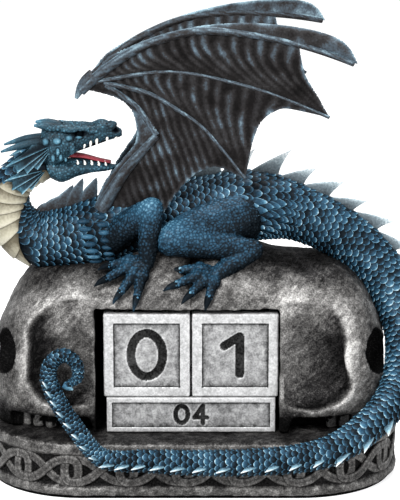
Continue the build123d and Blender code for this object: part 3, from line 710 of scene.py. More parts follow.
# Head: each form's rows along it, as shares of length, height, half width and half height
upper_head_shares = (
    (0.00, 0.53, 0.60, 0.240), (0.08, 0.54, 0.88, 0.290), (0.20, 0.56, 1.00, 0.270),
    (0.37, 0.63, 0.88, 0.195), (0.55, 0.68, 0.70, 0.155), (0.69, 0.74, 0.60, 0.158),
    (0.83, 0.73, 0.50, 0.100), (0.93, 0.71, 0.28, 0.040),
)
lower_jaw_shares = (
    (0.05, 0.26, 0.55, 0.120), (0.22, 0.20, 0.80, 0.155), (0.40, 0.25, 0.68, 0.125),
    (0.58, 0.26, 0.54, 0.085), (0.75, 0.25, 0.40, 0.050), (0.86, 0.26, 0.20, 0.020),
)
tongue_shares = (
    (0.30, 0.42, 0.34, 0.040), (0.48, 0.40, 0.34, 0.030),
    (0.66, 0.35, 0.32, 0.022), (0.80, 0.32, 0.26, 0.020),
)
lining_shares = (
    (0.34, 0.50, 0.55, 0.070), (0.46, 0.555, 0.50, 0.075),
    (0.62, 0.605, 0.42, 0.060), (0.80, 0.650, 0.26, 0.030),
)
# Teeth: root in head shares, then length as a share
upper_tooth_shares = (
    (0.50, 0.58, 0.575, 0.60), (0.57, 0.55, 0.590, 0.65), (0.64, 0.52, 0.605, 0.75),
    (0.76, 0.42, 0.640, 1.00), (0.86, 0.28, 0.665, 0.80),
)
lower_tooth_shares = (
    (0.42, 0.50, 0.330, 0.70), (0.50, 0.46, 0.325, 0.70), (0.58, 0.40, 0.320, 0.70),
    (0.66, 0.34, 0.305, 0.75), (0.74, 0.26, 0.285, 1.00),
)
# Teeth as painted show a little less than their castings, upper and lower
tooth_shrink = {-1: 0.85, 1: 0.62}
horn_shares = (
    ((0.12, 0.55, 0.62), (-0.20, 0.80, 0.585), (-0.46, 0.90, 0.50), 0.115),
    ((0.22, 0.40, 0.76), (0.06, 0.48, 0.82), (-0.08, 0.50, 0.83), 0.130),
)
# Lumps in the head's skin: place in head shares, then radii in millimetres
head_lump_shares = (
    ((0.80, 0.34, 0.79), (3.2, 1.6, 1.9)), ((0.70, 0.42, 0.80), (3.0, 1.5, 1.7)),
    ((0.80, 0.20, 0.82), (2.4, 1.3, 1.0)), ((0.62, 0.40, 0.800), (2.8, 1.6, 0.9)),
    ((0.54, 0.50, 0.800), (2.8, 1.6, 0.9)), ((0.46, 0.60, 0.800), (2.8, 1.6, 0.9)),
    ((0.56, 0.62, 0.76), (3.2, 1.3, 1.0)), ((0.46, 0.74, 0.79), (3.4, 1.4, 1.1)),
    ((0.34, 0.86, 0.79), (3.6, 1.4, 1.1)), ((0.20, 0.60, 0.80), (5.4, 1.6, 1.4)),
    ((0.36, 0.86, 0.55), (1.2, 1.0, 2.6)),
)
# Painted studs: place in head shares, then radii in millimetres
stud_shares = (
    ((0.060, 0.96, 0.640), (1.4, 1.0, 1.7)), ((0.190, 1.02, 0.655), (1.9, 1.1, 1.6)),
    ((0.330, 0.96, 0.690), (1.6, 1.0, 1.3)), ((0.200, 1.02, 0.510), (0.9, 0.8, 1.7)),
    ((0.145, 1.02, 0.425), (0.9, 0.8, 1.8)), ((0.232, 1.00, 0.430), (0.8, 0.7, 1.5)),
    ((0.290, 0.96, 0.400), (0.6, 0.6, 1.0)), ((0.440, 0.80, 0.690), (1.5, 0.7, 0.7)),
)
nostril_share = (0.875, 0.36, 0.775)
eye_share = (0.45, 0.80, 0.735)
eye_radii = (1.2, 0.8, 0.9)
# Dents in the head: place, depth and reach
head_dents = ((nostril_share, 1.5, 1.2), (eye_share, 0.9, 1.2))
head_voxel = 0.32
head_pebbles = (1.15, 0.18)


def head_place(shares, side=1):
    """A point of the head from shares of its length, half width and height."""
    return np.array((head_base_x + shares[0] * head_length,
                     head_middle_y + side * shares[1] * head_half_width,
                     head_base_z + shares[2] * head_height))


def head_form(rows, around=28, worn=0.4):
    """A tapering form through oval sections along the head."""
    shell, rings = Shell(), []
    for x_share, z_share, width_share, height_share in smooth_rows(rows, 2):
        centre = head_place((x_share, 0, z_share))
        half_width = max(width_share, 0.05) * head_half_width
        half_height = max(height_share, 0.01) * head_height
        rings.append([centre + (0, half_width * cos(t), half_height * sin(t)) for t in ring_turns(around)])
    shell.rings(rings, worn)
    return shell


def build_skin(name, node, form, dents):
    """A head form as one skin with small scales, and dents on both sides."""
    points, normals, edges, faces = skin(np.concatenate(form.points), form.faces, head_voxel, 2)
    hollow = np.zeros(len(points))
    for shares, depth, reach in dents:
        dip = np.zeros(len(points))
        for side in (-1, 1):
            away = np.linalg.norm((points - head_place(shares, side)) * (0.6, 1, 1.1), axis=1)
            dip += np.exp(-(away / reach) ** 2)
        points = points - normals * (depth * dip)[:, None]
        hollow += dip
    points, dome = pebbled(points, normals, *head_pebbles)
    worn = 0.46 + 1.5 * stand_out(points, normals, edges, 16, 2.2) + 0.13 * (dome - 0.6) - 0.9 * hollow
    place_piece(name, points, faces, worn, [node], head_paint)


def build_head():
    """Upper head and lower jaw with brows, nostrils and small scales, and what sits on them."""
    form = head_form(upper_head_shares)
    for shares, radii in head_lump_shares:
        for side in (-1, 1):
            add_ellipsoid(form, head_place(shares, side), radii)
    build_skin("scaled_head", "dragon_head", form, head_dents)
    build_skin("scaled_jaw", "lower_jaw", head_form(lower_jaw_shares), ())
    studs, eyes = Shell(), Shell()
    for shares, radii in stud_shares:
        for side in (-1, 1):
            middle = head_place(shares, side)
            add_ellipsoid(studs, middle, radii)
            rise = side * (studs.points[-1] - middle)[:, 1] / radii[1]
            studs.worn[-1] = 0.20 + 0.58 * np.clip(rise, 0, 1) ** 0.9
    studs.piece("cheek_studs", [], "scaled_hide", head_paint)
    for side in (-1, 1):
        add_ellipsoid(eyes, head_place(eye_share, side), eye_radii, 0.02)
    eyes.piece("eyes", [], "scaled_hide", hide_paint)
    head_form(lining_shares, 18, worn=0.0).piece("mouth_lining", [], "scaled_hide", hide_paint)
    head_form(tongue_shares, 18).piece("wet_tongue", ["tongue"], "tongue_red", tongue_paint)


def build_teeth_and_horns():
    """Teeth in both jaws, swept horns and brow horns."""
    for name, node, rows, direction in (
        ("upper_fangs", "upper_teeth", upper_tooth_shares, -1),
        ("lower_fangs", "lower_teeth", lower_tooth_shares, 1),
    ):
        shell = Shell()
        radii = [share * fang_radius for share in (0.8, 0.6, 0.05)]
        for *shares, length_share in rows:
            for side in (-1, 1):
                root = head_place(shares, side)
                reach = length_share * fang_length * direction * tooth_shrink[direction]
                ends = [root - (0, 0, 0.9 * reach), root + (0.1, 0, 0.2 * reach), root + (-0.3, 0, reach)]
                add_cone(shell, ends, radii, [0.4, 0.8, 1.0])
        shell.piece(name, [node], "ivory", tooth_paint)
    shell = Shell()
    for *line, radius_share in horn_shares:
        for side in (-1, 1):
            radius = radius_share * horn_length
            ends = [head_place(shares, side) for shares in line]
            add_cone(shell, ends, [radius, 0.72 * radius, 0.2 * radius], [0.30, 0.44, 0.72])
    shell.piece("swept_horns", ["horns"], "scaled_hide", head_paint)


# Cheek fins: root in head shares, then points round each fan in shares of fin length
fin_shares = (
    ((0.04, 0.80, 0.58), (
        (-0.20, 0.02), (-0.65, -0.31), (-0.46, -0.30), (-0.45, -0.42), (-0.33, -0.34),
        (-0.29, -0.44), (-0.19, -0.33), (-0.12, -0.38), (0.05, -0.20))),
    ((-0.06, 0.80, 0.24), (
        (-0.16, 0.06), (-0.53, -0.13), (-0.36, -0.16), (-0.40, -0.29), (-0.25, -0.25),
        (-0.24, -0.37), (-0.13, -0.26), (-0.08, -0.30), (0.04, -0.16))),
)
fin_hub = np.array((0.16, 0.02))
fin_flare = 0.28
fin_spans = 6


def build_fins():
    """Ribbed fans behind the jaw, on both cheeks."""
    for side, name, node in ((-1, "near_fans", "near_cheek_fins"), (1, "far_fans", "far_cheek_fins")):
        shell = Shell()
        across = np.array((1, -fin_flare * side, 0)) / np.hypot(1, fin_flare)
        out = np.array((fin_flare, side, 0)) / np.hypot(1, fin_flare)
        for root, outline in fin_shares:
            origin = head_place(root, side)
            rim = []
            for first, second in zip(outline[:-1], outline[1:]):
                for share in np.linspace(0, 1, fin_spans + 1)[:-1]:
                    rim.append(np.array(first) * (1 - share) + np.array(second) * share)
            tips = np.arange(1, len(outline), 2) * fin_spans
            nearest = np.abs(np.arange(len(rim))[:, None] - tips).min(axis=1)
            ribs = np.exp(-(nearest / 1.1) ** 2)
            rings, worn = [], []
            for share in np.linspace(0.12, 1, 10):
                flat = (fin_hub + (np.array(rim) - fin_hub) * share) * fin_length
                thick = (0.45 + 0.75 * ribs * (1.1 - 0.6 * share))[:, None]
                middle = origin + flat[:, :1] * across + flat[:, 1:] * np.array((0, 0, 1.0))
                tone = 0.22 + 0.60 * ribs + 0.30 * share ** 6 * (1 - ribs) + 0.10 * share
                rings.append(np.concatenate([middle + out * thick, (middle - out * thick)[::-1]]))
                worn.append(np.concatenate([tone, tone[::-1]]))
            shell.rings(rings, worn)
        shell.piece(name, [node], "scaled_hide", head_paint)


# Wings: stretches of the outline, as shares of length and height
wing_outline_shares = (
    ((0.042, 0.632), (0.108, 0.752), (0.195, 0.818), (0.316, 0.876), (0.437, 0.918),
     (0.613, 0.940), (0.800, 0.926), (0.912, 0.880), (0.954, 0.795)),
    ((0.954, 0.795), (0.845, 0.836), (0.766, 0.848)),
    ((0.766, 0.848), (0.784, 0.740), (0.824, 0.655), (0.867, 0.560)),
    ((0.867, 0.560), (0.738, 0.585), (0.690, 0.572), (0.642, 0.520), (0.612, 0.418), (0.590, 0.268)),
    ((0.590, 0.268), (0.502, 0.312), (0.461, 0.304), (0.409, 0.264), (0.355, 0.186), (0.300, 0.070)),
    ((0.300, 0.070), (0.180, 0.070), (0.060, 0.070)),
    ((0.060, 0.070), (0.103, 0.217), (0.168, 0.327), (0.213, 0.400), (0.219, 0.475),
     (0.199, 0.552), (0.142, 0.602), (0.042, 0.632)),
)
# Wing bones: points along each, then its radius at both ends as shares of the bone radius
wing_bone_shares = (
    (((0.095, 0.100), (0.177, 0.274), (0.288, 0.440)), 1.22, 0.66),
    (((0.288, 0.440), (0.220, 0.560), (0.115, 0.652)), 0.58, 0.48),
    (((0.030, 0.625), (0.195, 0.792), (0.437, 0.897), (0.735, 0.868), (0.941, 0.796)), 0.88, 0.48),
    (((0.080, 0.662), (0.250, 0.706), (0.409, 0.712), (0.665, 0.648), (0.865, 0.562)), 0.38, 0.28),
    (((0.110, 0.660), (0.250, 0.625), (0.355, 0.558), (0.461, 0.464), (0.589, 0.272)), 0.44, 0.30),
)
wrist_share = (0.045, 0.640)
wing_peg_share = (0.150, 0.110)
wrist_claw_shares = ((0.075, 0.690), (0.014, 0.592))
wing_grid_step = 0.62
# Folds cross the upper bays in arcs about the wrist and hang down in the lowest bay
fold_totals = (27.0, 25.0)
fold_growth = 0.75
fold_lean = 0.14
fold_slant = 0.36
fold_pitch = 3.1
fold_height = 0.75
bay_depth = 1.0
# The far wing as the photo shows it: size, turn and shift about its peg, and its tones, painted light on its
# sheet and darker bones
far_wing_share = 0.95
far_wing_turn = radians(5)
far_wing_shift = np.array((2.3, 0.0, 0.6))
far_sheet_painted_light = 0.16
far_bone_tone = -0.10


def wing_depth(share):
    """How far the wing stands out from the middle, growing toward its tip."""
    bow = wing_bow_share + (1 - wing_bow_share) * share
    return wing_root_gap + (wing_tip_gap - wing_root_gap) * share * bow


def wing_flat(shares):
    """Points of the wing seen from the front, in millimetres."""
    shares = np.asarray(shares, float)
    return np.stack([wing_start_x + shares[..., 0] * wing_length,
                     wing_start_z + shares[..., 1] * wing_height], axis=-1)


def wing_rim():
    """The wing's scalloped outline, closed."""
    rim = np.concatenate([wing_flat(smooth_rows(stretch, 3))[:-1] for stretch in wing_outline_shares])
    return np.vstack([rim, rim[:1]])


def bearing_and_reach(run):
    """Bearing of points from the wrist, counted from the lower left, and their distance."""
    bearing = (np.arctan2(run[:, 1], run[:, 0]) + 0.75 * pi) % (2 * pi)
    return bearing, np.linalg.norm(run, axis=1)


def fold_pattern(points):
    """Folds across the bays between the fingers, from groove to ridge, and how far each bay sinks."""
    wrist = wing_flat(wrist_share)
    angle, reach = bearing_and_reach(points - wrist)
    wobble = fractal(np.insert(points, 2, 3.0, axis=1), 14, 2)
    arm, forearm, *fingers = (bone[0] for bone in wing_bone_shares)
    bearings = []
    for line in (*fingers, forearm[::-1] + arm[::-1][1:]):
        bearing, far = bearing_and_reach(wing_flat(smooth_rows(line, 3)) - wrist)
        outward = np.argsort(far)
        bearings.append(np.interp(reach, far[outward], bearing[outward]))
    ridge = np.full(len(points), 0.75)
    sink = np.zeros(len(points))
    for order, (upper, lower) in enumerate(zip(bearings[:-1], bearings[1:])):
        share = (upper - angle) / np.where(np.abs(upper - lower) < 1e-3, 1e-3, upper - lower)
        within = (share >= 0) & (share <= 1)
        held = np.clip(share, 0, 1)
        if order < len(fold_totals):
            slant = 1 - fold_lean * held + fold_slant * held ** 3
            phase = fold_totals[order] * (reach / wing_length / slant) ** fold_growth
        else:
            phase = (points[:, 0] + 0.35 * points[:, 1]) / fold_pitch
        wave = (0.5 + 0.5 * np.cos(2 * pi * phase + 1.8 * wobble)) ** 1.1
        hang = (1 - held ** 5) * (0.55 + 0.45 * np.sin(pi * held))
        ridge = np.where(within, wave * hang, ridge)
        sink = np.where(within, np.sin(pi * held), sink)
    fade = np.clip((reach - 4) / 12, 0, 1)
    return ridge * fade, sink * fade


def wing_sheet_grid(rim):
    """Flat points of the membrane within its outline and the cells between them."""
    low, high = rim.min(axis=0), rim.max(axis=0)
    columns, rows = (int(size / wing_grid_step) + 2 for size in high - low)
    grid_x, grid_z = np.meshgrid(low[0] + np.arange(columns) * wing_grid_step,
                                 low[1] + np.arange(rows) * wing_grid_step, indexing="ij")
    flat = np.stack([grid_x.ravel(), grid_z.ravel()], axis=1)
    place, away = nearest_on(flat, rim)
    within = inside(flat, rim)
    keep = within | (away < 0.75 * wing_grid_step)
    at_rim = (~within & keep) | (within & (away < 0.3 * wing_grid_step))
    flat[at_rim] = place[at_rim]
    index = np.full(columns * rows, -1)
    index[keep] = np.arange(keep.sum())
    corners = grid_faces(columns, rows)[:, [0, 3, 2, 1]]
    whole = keep[corners].all(axis=1)
    return flat[keep], index[corners[whole]].tolist()


def add_wing_sheet(shell, side):
    """The bowed membrane with its folds, front and back."""
    rim = wing_rim()
    points, cells = wing_sheet_grid(rim)
    count = len(points)
    ridge, sink = fold_pattern(points)
    away = nearest_on(points, rim)[1]
    edge = np.clip(away / 2.0, 0, 1)
    grain = fractal(np.insert(points, 2, 0, axis=1), 7)
    half = wing_sheet / 2 * (0.35 + 0.65 * edge)
    relief = (fold_height * ridge - bay_depth * sink) * edge
    middle = wing_depth((points[:, 0] - wing_start_x) / wing_length) + relief
    outer = np.stack([points[:, 0], side * (middle + half), points[:, 1]], axis=1)
    inner = np.stack([points[:, 0], side * (middle - half), points[:, 1]], axis=1)
    border = set()
    for cell in cells:
        for pair in zip(cell, cell[1:] + cell[:1]):
            if pair[::-1] in border:
                border.remove(pair[::-1])
            else:
                border.add(pair)
    walls = [(second, first, first + count, second + count) for first, second in sorted(border)]
    cells = cells + [[corner + count for corner in cell[::-1]] for cell in cells] + walls
    rim_light = np.clip(1 - away / 1.3, 0, 1)
    worn = 0.24 + 0.43 * ridge * (0.80 + 0.45 * grain) + 0.12 * grain + 0.32 * rim_light
    shell.add(np.concatenate([outer, inner]), cells, np.concatenate([worn, worn]))


def add_wing_bones(shell, side):
    """Round bones that taper along the arm and fingers, and the claw at the wrist."""
    around = 14
    for bone_points, start_share, end_share in wing_bone_shares:
        rows = []
        for point, share in zip(bone_points, np.linspace(start_share, end_share, len(bone_points))):
            x, z = wing_flat(point)
            rows.append((x, side * (wing_depth(point[0]) + 0.4), z, share * wing_bone_radius))
        path = Path(rows, 4)
        rings = path.skin_rings(path.along, around)
        speck = np.array([[noise.noise(Vector(spot) * 0.35) for spot in ring] for ring in rings])
        upward = unit(rings - path.place[:, None])[..., 2]
        streak = np.sin(5 * ring_turns(around)[None] + 4 * speck)
        # Bones lighter on top and darker underneath, as painted light and shade
        shell.rings(rings, 0.60 + 0.14 * speck + 0.16 * upward + 0.11 * streak)
    root, tip = wing_flat(wrist_claw_shares)
    bend = 0.5 * root + 0.5 * tip + (-0.8, 0.8)
    ends = [(spot[0], side * wing_depth(0.05), spot[1]) for spot in (root, bend, tip)]
    add_cone(shell, ends, [2.2, 2.1, 0.7], [0.55, 0.65, 0.8])


def build_wing(side, name, node):
    """A folded membrane on round bones; the far wing is a little smaller and raised, as in the photo."""
    shell = Shell()
    add_wing_sheet(shell, side)
    add_wing_bones(shell, side)
    if side > 0:
        peg_x, peg_z = wing_flat(wing_peg_share)
        for index, points in enumerate(shell.points):
            x, y, z = ((points - (peg_x, 0, peg_z)) * far_wing_share).T
            shell.points[index] = np.stack([
                peg_x + x * cos(far_wing_turn) - z * sin(far_wing_turn), y,
                peg_z + x * sin(far_wing_turn) + z * cos(far_wing_turn)], axis=1) + far_wing_shift
            # The far wing's sheet gets painted light and its bones are made darker
            shell.worn[index] = shell.worn[index] + (far_bone_tone if index else far_sheet_painted_light)
    shell.piece(name, [node], "wing_membrane", wing_paint)


# Legs: joints and toe tips as shares of reach, depth and body radius, and radii as shares
foreleg_shares = ((-0.385, 0.33, 0.38), (-0.190, 0.71, 1.42), (-0.215, 0.74, -0.05))
foreleg_radius_shares = (0.95, 0.64, 0.43)
foretoe_tip_shares = (
    (-0.420, 0.80, -0.50), (-0.345, 0.90, -0.82), (-0.265, 0.93, -0.95), (-0.400, 0.66, -0.20),
)
hind_leg_shares = ((0.24, 0.26, 0.95), (-0.10, 0.66, 0.55), (0.306, 0.60, 0.22), (0.13, 0.76, -0.35))
hind_leg_radius_shares = (1.45, 0.90, 0.55, 0.45)
hind_toe_tip_shares = (
    (-0.080, 0.86, -0.62), (-0.005, 0.92, -0.85), (0.085, 0.94, -0.95), (-0.060, 0.70, -0.30),
)
toe_root_radius = 0.33 * leg_radius
toe_tip_radius = 0.20 * leg_radius
toe_bend_share = 0.45
claw_radii = (1.1 * toe_tip_radius, 0.75 * toe_tip_radius, 0.15)
claw_tones = (0.12, 0.22, 0.36)
claw_sink = 1.2
claw_droop = 0.5
claw_arch = 0.4
joint_reach = 1.15
knuckle_reach = 1.9
leg_voxel = 0.36
leg_pebbles = (1.25, 0.30)


def leg_place(shares, side):
    """A point of a leg on the near or the far side."""
    return np.array((shares[0] * dragon_half_reach, side * shares[1] * skull_half_depth,
                     skull_top + shares[2] * body_radius))


def build_leg(side, name, node, leg_shares, radius_shares, toe_shares):
    """A leg in one skin of fine pebbles, bright on its joints and knuckles, with dark claws."""
    form, shell = Shell(), Shell()
    joints = [leg_place(shares, side) for shares in leg_shares]
    radii = [share * leg_radius for share in radius_shares]
    for first, second, start, end in zip(joints[:-1], joints[1:], radii[:-1], radii[1:]):
        add_cone(form, [first, (first + second) / 2, second], [start, 0.55 * (start + end), end], around=24)
    for joint, radius in zip(joints, radii):
        add_ellipsoid(form, joint, (radius, radius, radius))
    bright = [(joints[1], joint_reach * radii[1])]
    foot = joints[-1]
    claws = []
    for shares in toe_shares:
        tip = leg_place(shares, side)
        bend = foot + (tip - foot) * toe_bend_share + (0, 0, toe_root_radius / 2)
        add_cone(form, [foot, bend, tip], [toe_root_radius, toe_root_radius, toe_tip_radius], around=14)
        add_ellipsoid(form, bend, (1.25 * toe_root_radius,) * 3)
        bright += [(bend, knuckle_reach), (tip, knuckle_reach)]
        forward = unit(tip - bend)
        claw = tip + forward * claw_length - (0, 0, claw_droop)
        claws.append([tip - forward * claw_sink, (tip + claw) / 2 + (0, 0, claw_arch), claw])
    points, normals, edges, faces = skin(np.concatenate(form.points), form.faces, leg_voxel, 2)
    points, dome = pebbled(points, normals, *leg_pebbles)
    raised = stand_out(points, normals, edges, 12, 6.0)
    lit = np.zeros(len(points))
    for spot, reach in bright:
        lit = np.maximum(lit, np.exp(-(np.linalg.norm(points - spot, axis=1) / reach) ** 2))
    # Lighter facing the upper left and darker facing away, as painted light and shade, and a painted
    # highlight on the joints and knuckles
    worn = 0.05 + 0.26 * dome + 0.50 * raised + 0.27 * (normals @ painted_light_direction) + 0.52 * lit
    shell.add(points, faces, worn)
    for ends in claws:
        add_cone(shell, ends, claw_radii, claw_tones)
    shell.piece(name, [node], "scaled_hide", hide_paint)


# Skulls, plinth and felt

# Ridge round each temple hollow, from the brow to the cheek arch, as seen from the photo's side:
# millimetres across from the middle and up from the plinth's foot
temple_ridges = {
    -1: ((-50.0, 76.5), (-52.2, 75.4), (-56.2, 72.9), (-60.6, 68.8), (-62.8, 64.5), (-62.5, 58.2),
         (-62.8, 50.8), (-63.0, 45.3), (-59.9, 39.9), (-57.4, 36.8), (-52.0, 35.2), (-42.0, 36.0),
         (-36.6, 36.2)),
    1: ((52.0, 75.0), (54.3, 72.9), (56.1, 71.0), (59.0, 65.1), (59.7, 60.7), (58.7, 55.3), (59.5, 50.4),
        (61.4, 45.5), (61.9, 42.1), (60.4, 39.7), (57.5, 36.8), (52.6, 34.8), (48.2, 33.4), (41.6, 34.3),
        (34.0, 35.3)),
}
hollow_close = 36.0
hollow_depth = 2.6
hollow_reach = 9.0
ridge_height = 0.8
ridge_reach = 4.6
ridge_inner_reach = 0.8
ridge_taper = 14.0
# A painted highlight on each skull's top beside the niche: place across and up, then reach
painted_highlight_place = (40.0, 80.0)
painted_highlight_reach = (17.0, 9.0)
orbit_shares = (0.965, 0.58, 0.45)
niche_low = (-37.0, -28.5, 0.0)
niche_high = (37.0, 15.0, 73.0)
tooth_arc_shares = (0.66, 0.345, 0.66)
tooth_count = 15
tooth_foot = 6.3
# Below this height the skulls are painted black as shade, the teeth aside
painted_shade_height = 7.2
# Voxel, then lumps and pits as depth, size and detail
skull_voxel, skull_lumps, skull_pits = 0.7, (0.40, 11.0), (0.16, 1.7, 2)
plinth_voxel, plinth_lumps, plinth_pits = 0.8, (0.20, 5.0), (0.10, 1.6, 2)


def near_tooth(points, side):
    """True on the row of teeth."""
    result = np.zeros(len(points), bool)
    for step in range(tooth_count):
        turn = (0.06 + 0.88 * step / (tooth_count - 1)) * pi
        x = side * (tooth_arc_shares[0] + tooth_arc_shares[1] * sin(turn)) * skull_half_length
        y = tooth_arc_shares[2] * cos(turn) * skull_half_depth
        result |= np.hypot(points[:, 0] - x, points[:, 1] - y) < 1.1 * tooth_radius
    return result


def build_skull(side, name, node):
    """A cast skull: the CAD form evened, with temple ridges brought out, hollows darkened as wash and painted
    shade, and painted shade and a painted highlight added.
    """
    points, normals, edges, faces = skin(*cad_mesh(node), skull_voxel, 3)
    # As seen from the photo's side, the far half folded over to the near one
    rise = points[:, 2] * cos(view_tilt) + (plinth_half_depth - np.abs(points[:, 1])) * sin(view_tilt)
    flat = np.stack([points[:, 0], rise], axis=1)
    line = np.array(temple_ridges[side])
    close = side * hollow_close
    hollow = inside(flat, np.vstack([line, (close, line[-1, 1]), (close, line[0, 1]), line[:1]]))
    away = nearest_on(flat, line)[1]
    end_gap = np.minimum(np.linalg.norm(flat - line[0], axis=1), np.linalg.norm(flat - line[-1], axis=1))
    facing = np.clip((np.abs(normals[:, 1]) - 0.15) / 0.3, 0, 1) * (np.abs(points[:, 1]) > 8)
    facing = facing * np.clip(end_gap / ridge_taper, 0, 1)
    dip = np.where(hollow, np.exp(-(away / hollow_reach) ** 2) * np.clip(away / 1.2, 0, 1), 0) * facing
    ridge = np.exp(-(away / np.where(hollow, ridge_inner_reach, ridge_reach)) ** 2) * facing
    points = points + normals * (ridge_height * ridge - hollow_depth * dip)[:, None]
    points, lumps = roughened(points, normals, *skull_lumps)
    points, pits = roughened(points, normals, *skull_pits)
    x, y, z = points.T
    # Fine slanted brush marks
    scratch = fractal(np.stack([(x + z) / 9, y / 6, (x - z) / 1.3], axis=1), 1.0)
    orbit = np.array((side * orbit_shares[0] * skull_half_length, orbit_shares[1] * skull_half_depth,
                      plinth_top + orbit_shares[2] * skull_height))
    in_orbit = np.linalg.norm(np.stack([x, np.abs(y), z], axis=1) - orbit, axis=1) < orbit_radius + 0.5
    in_niche = ((points > niche_low) & (points < niche_high)).all(axis=1)
    height = z - plinth_top
    teeth = near_tooth(points, side) & (height < tooth_foot)
    painted_highlight = np.exp(-((np.abs(flat[:, 0]) - painted_highlight_place[0]) / painted_highlight_reach[0]) ** 2
                     - ((flat[:, 1] - painted_highlight_place[1]) / painted_highlight_reach[1]) ** 2)
    worn = 0.47 + 0.55 * stand_out(points, normals, edges, 22, 6.0) + 0.17 * lumps + 0.14 * pits
    # Temple hollows darker, partly antiqued wash and partly painted shade; a painted highlight beside the
    # niche
    worn = worn + 0.11 * scratch + 0.26 * ridge - 0.40 * dip + 0.24 * painted_highlight
    # Upward-facing surfaces darker, partly antiqued wash and partly painted shadow under the dragon; painted
    # shade toward the plinth
    worn = worn - 0.34 * np.clip((normals[:, 2] - 0.55) / 0.4, 0, 1) - 0.16 * np.clip(1 - height / 16, 0, 1)
    # Painted shade fading up from the cheek arch, and black below it
    worn = worn - 0.25 * np.exp(-np.clip(height - painted_shade_height, 0, 40) / 2.5)
    worn = np.where(height < painted_shade_height, 0.02, worn)
    worn = np.where(teeth, 0.64 + 0.2 * pits, worn)
    # Painted shade: the orbits and the niche behind the cubes are made dark
    worn = np.where(in_orbit | in_niche, -0.3, worn)
    place_piece(name, points, faces, worn, [node], stone_paint)


# Straps of the band: units round the plinth, and each strap's section as places across and heights
knot_unit_count = 20
knot_start_share = 0.3
knot_reach_share = 0.63
knot_margin = 2.0
knot_bow = 1.1
strap_half_width = 1.75
strap_lift = 0.35
strap_weave = 0.45
strap_section = ((-1, -1.2), (-1, 0.20), (-0.72, 0.50), (0, 0.42), (0.72, 0.50), (1, 0.20), (1, -1.2))
strap_tones = np.array((0.02, 0.40, 0.60, 0.46, 0.60, 0.40, 0.02))
plinth_straight = np.array((plinth_length, plinth_depth)) - 2 * plinth_corner_radius
plinth_bend = pi / 2 * plinth_corner_radius
plinth_round = 2 * plinth_straight.sum() + 4 * plinth_bend
corner_signs = ((-1, -1), (1, -1), (1, 1), (-1, 1))


def plinth_edge(distance, inset):
    """A point on the plinth's side at a distance round it, with its outward direction."""
    radius = plinth_corner_radius - inset
    distance = distance % plinth_round
    for turn in range(4):
        heading = turn * pi / 2
        ahead = np.array((cos(heading), sin(heading)))
        out = np.array((sin(heading), -cos(heading)))
        run = plinth_straight[turn % 2]
        begin, centre = (plinth_straight / 2 * corner_signs[(turn + step) % 4] for step in (0, 1))
        if distance < run:
            return begin + out * radius + ahead * distance, out
        distance -= run
        if distance < plinth_bend or turn == 3:
            swing = distance / plinth_corner_radius
            spread = out * cos(swing) + ahead * sin(swing)
            return centre + spread * radius, spread
        distance -= plinth_bend


def build_knotwork():
    """Interlaced flat straps round the band of the plinth: loops that cross themselves and one another."""
    shell = Shell()
    knot = plinth_round / knot_unit_count
    middle_z = felt_thickness + bottom_rim_height + band_height / 2
    turns = np.linspace(0, 2 * pi, 97)
    along = knot_reach_share * knot * np.cos(turns)
    rise = (band_height / 2 - knot_margin) * np.tanh(knot_bow * np.sin(2 * turns)) / np.tanh(knot_bow)
    ahead, climb = np.gradient(along), np.gradient(rise)
    size = np.hypot(ahead, climb)
    for index in range(knot_unit_count):
        rings = []
        for step in range(len(turns)):
            over = strap_lift + strap_weave * sin(turns[step])
            ring = []
            for across, lift in strap_section:
                shift = across * strap_half_width / size[step]
                distance = (index + knot_start_share) * knot + along[step] - shift * climb[step]
                place, out = plinth_edge(distance, band_inset)
                ring.append((*(place + out * (over + lift)), middle_z + rise[step] + shift * ahead[step]))
            rings.append(ring)
        worn = strap_tones + 0.10 * rng.uniform(-1, 1, (len(turns), 1)) - 0.04
        shell.rings(rings, worn, close_ends=False)
    shell.piece("knotwork", [], "antiqued_stone_grey", stone_paint)


def build_plinth():
    """The plinth evened like a casting, with a dark band, and the felt under it."""
    points, normals, edges, faces = skin(*cad_mesh("plinth"), plinth_voxel, 2)
    points, lumps = roughened(points, normals, *plinth_lumps)
    points, pits = roughened(points, normals, *plinth_pits)
    worn = 0.44 + 0.8 * stand_out(points, normals, edges, 12, 2.6) + 0.16 * lumps + 0.14 * pits
    height = points[:, 2] - felt_thickness - bottom_rim_height
    in_band = (height > 0.5) & (height < band_height - 0.5) & (np.abs(normals[:, 2]) < 0.6)
    worn = np.where(in_band, 0.08 + 0.06 * lumps, worn)
    # The plinth's top darkened as painted shadow under the skulls
    on_top = (height > band_height) & (normals[:, 2] > 0.7)
    worn = np.where(on_top, worn - 0.20, worn)
    place_piece("cast_plinth", points, faces, worn, ["plinth"], stone_paint)
    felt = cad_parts["felt_base"]
    felt.data.materials.clear()
    felt.data.materials.append(felt_paint)


# Numerals as strokes in a box one high: lines as corner points, arcs as centre, radii and turns

def arc(x, z, rx, rz, start=0, end=360, count=22):
    """Points of an oval arc between two turns in degrees."""
    turns = np.radians(np.linspace(start, end, count))
    return np.stack([x + rx * np.cos(turns), z + rz * np.sin(turns)], axis=1)


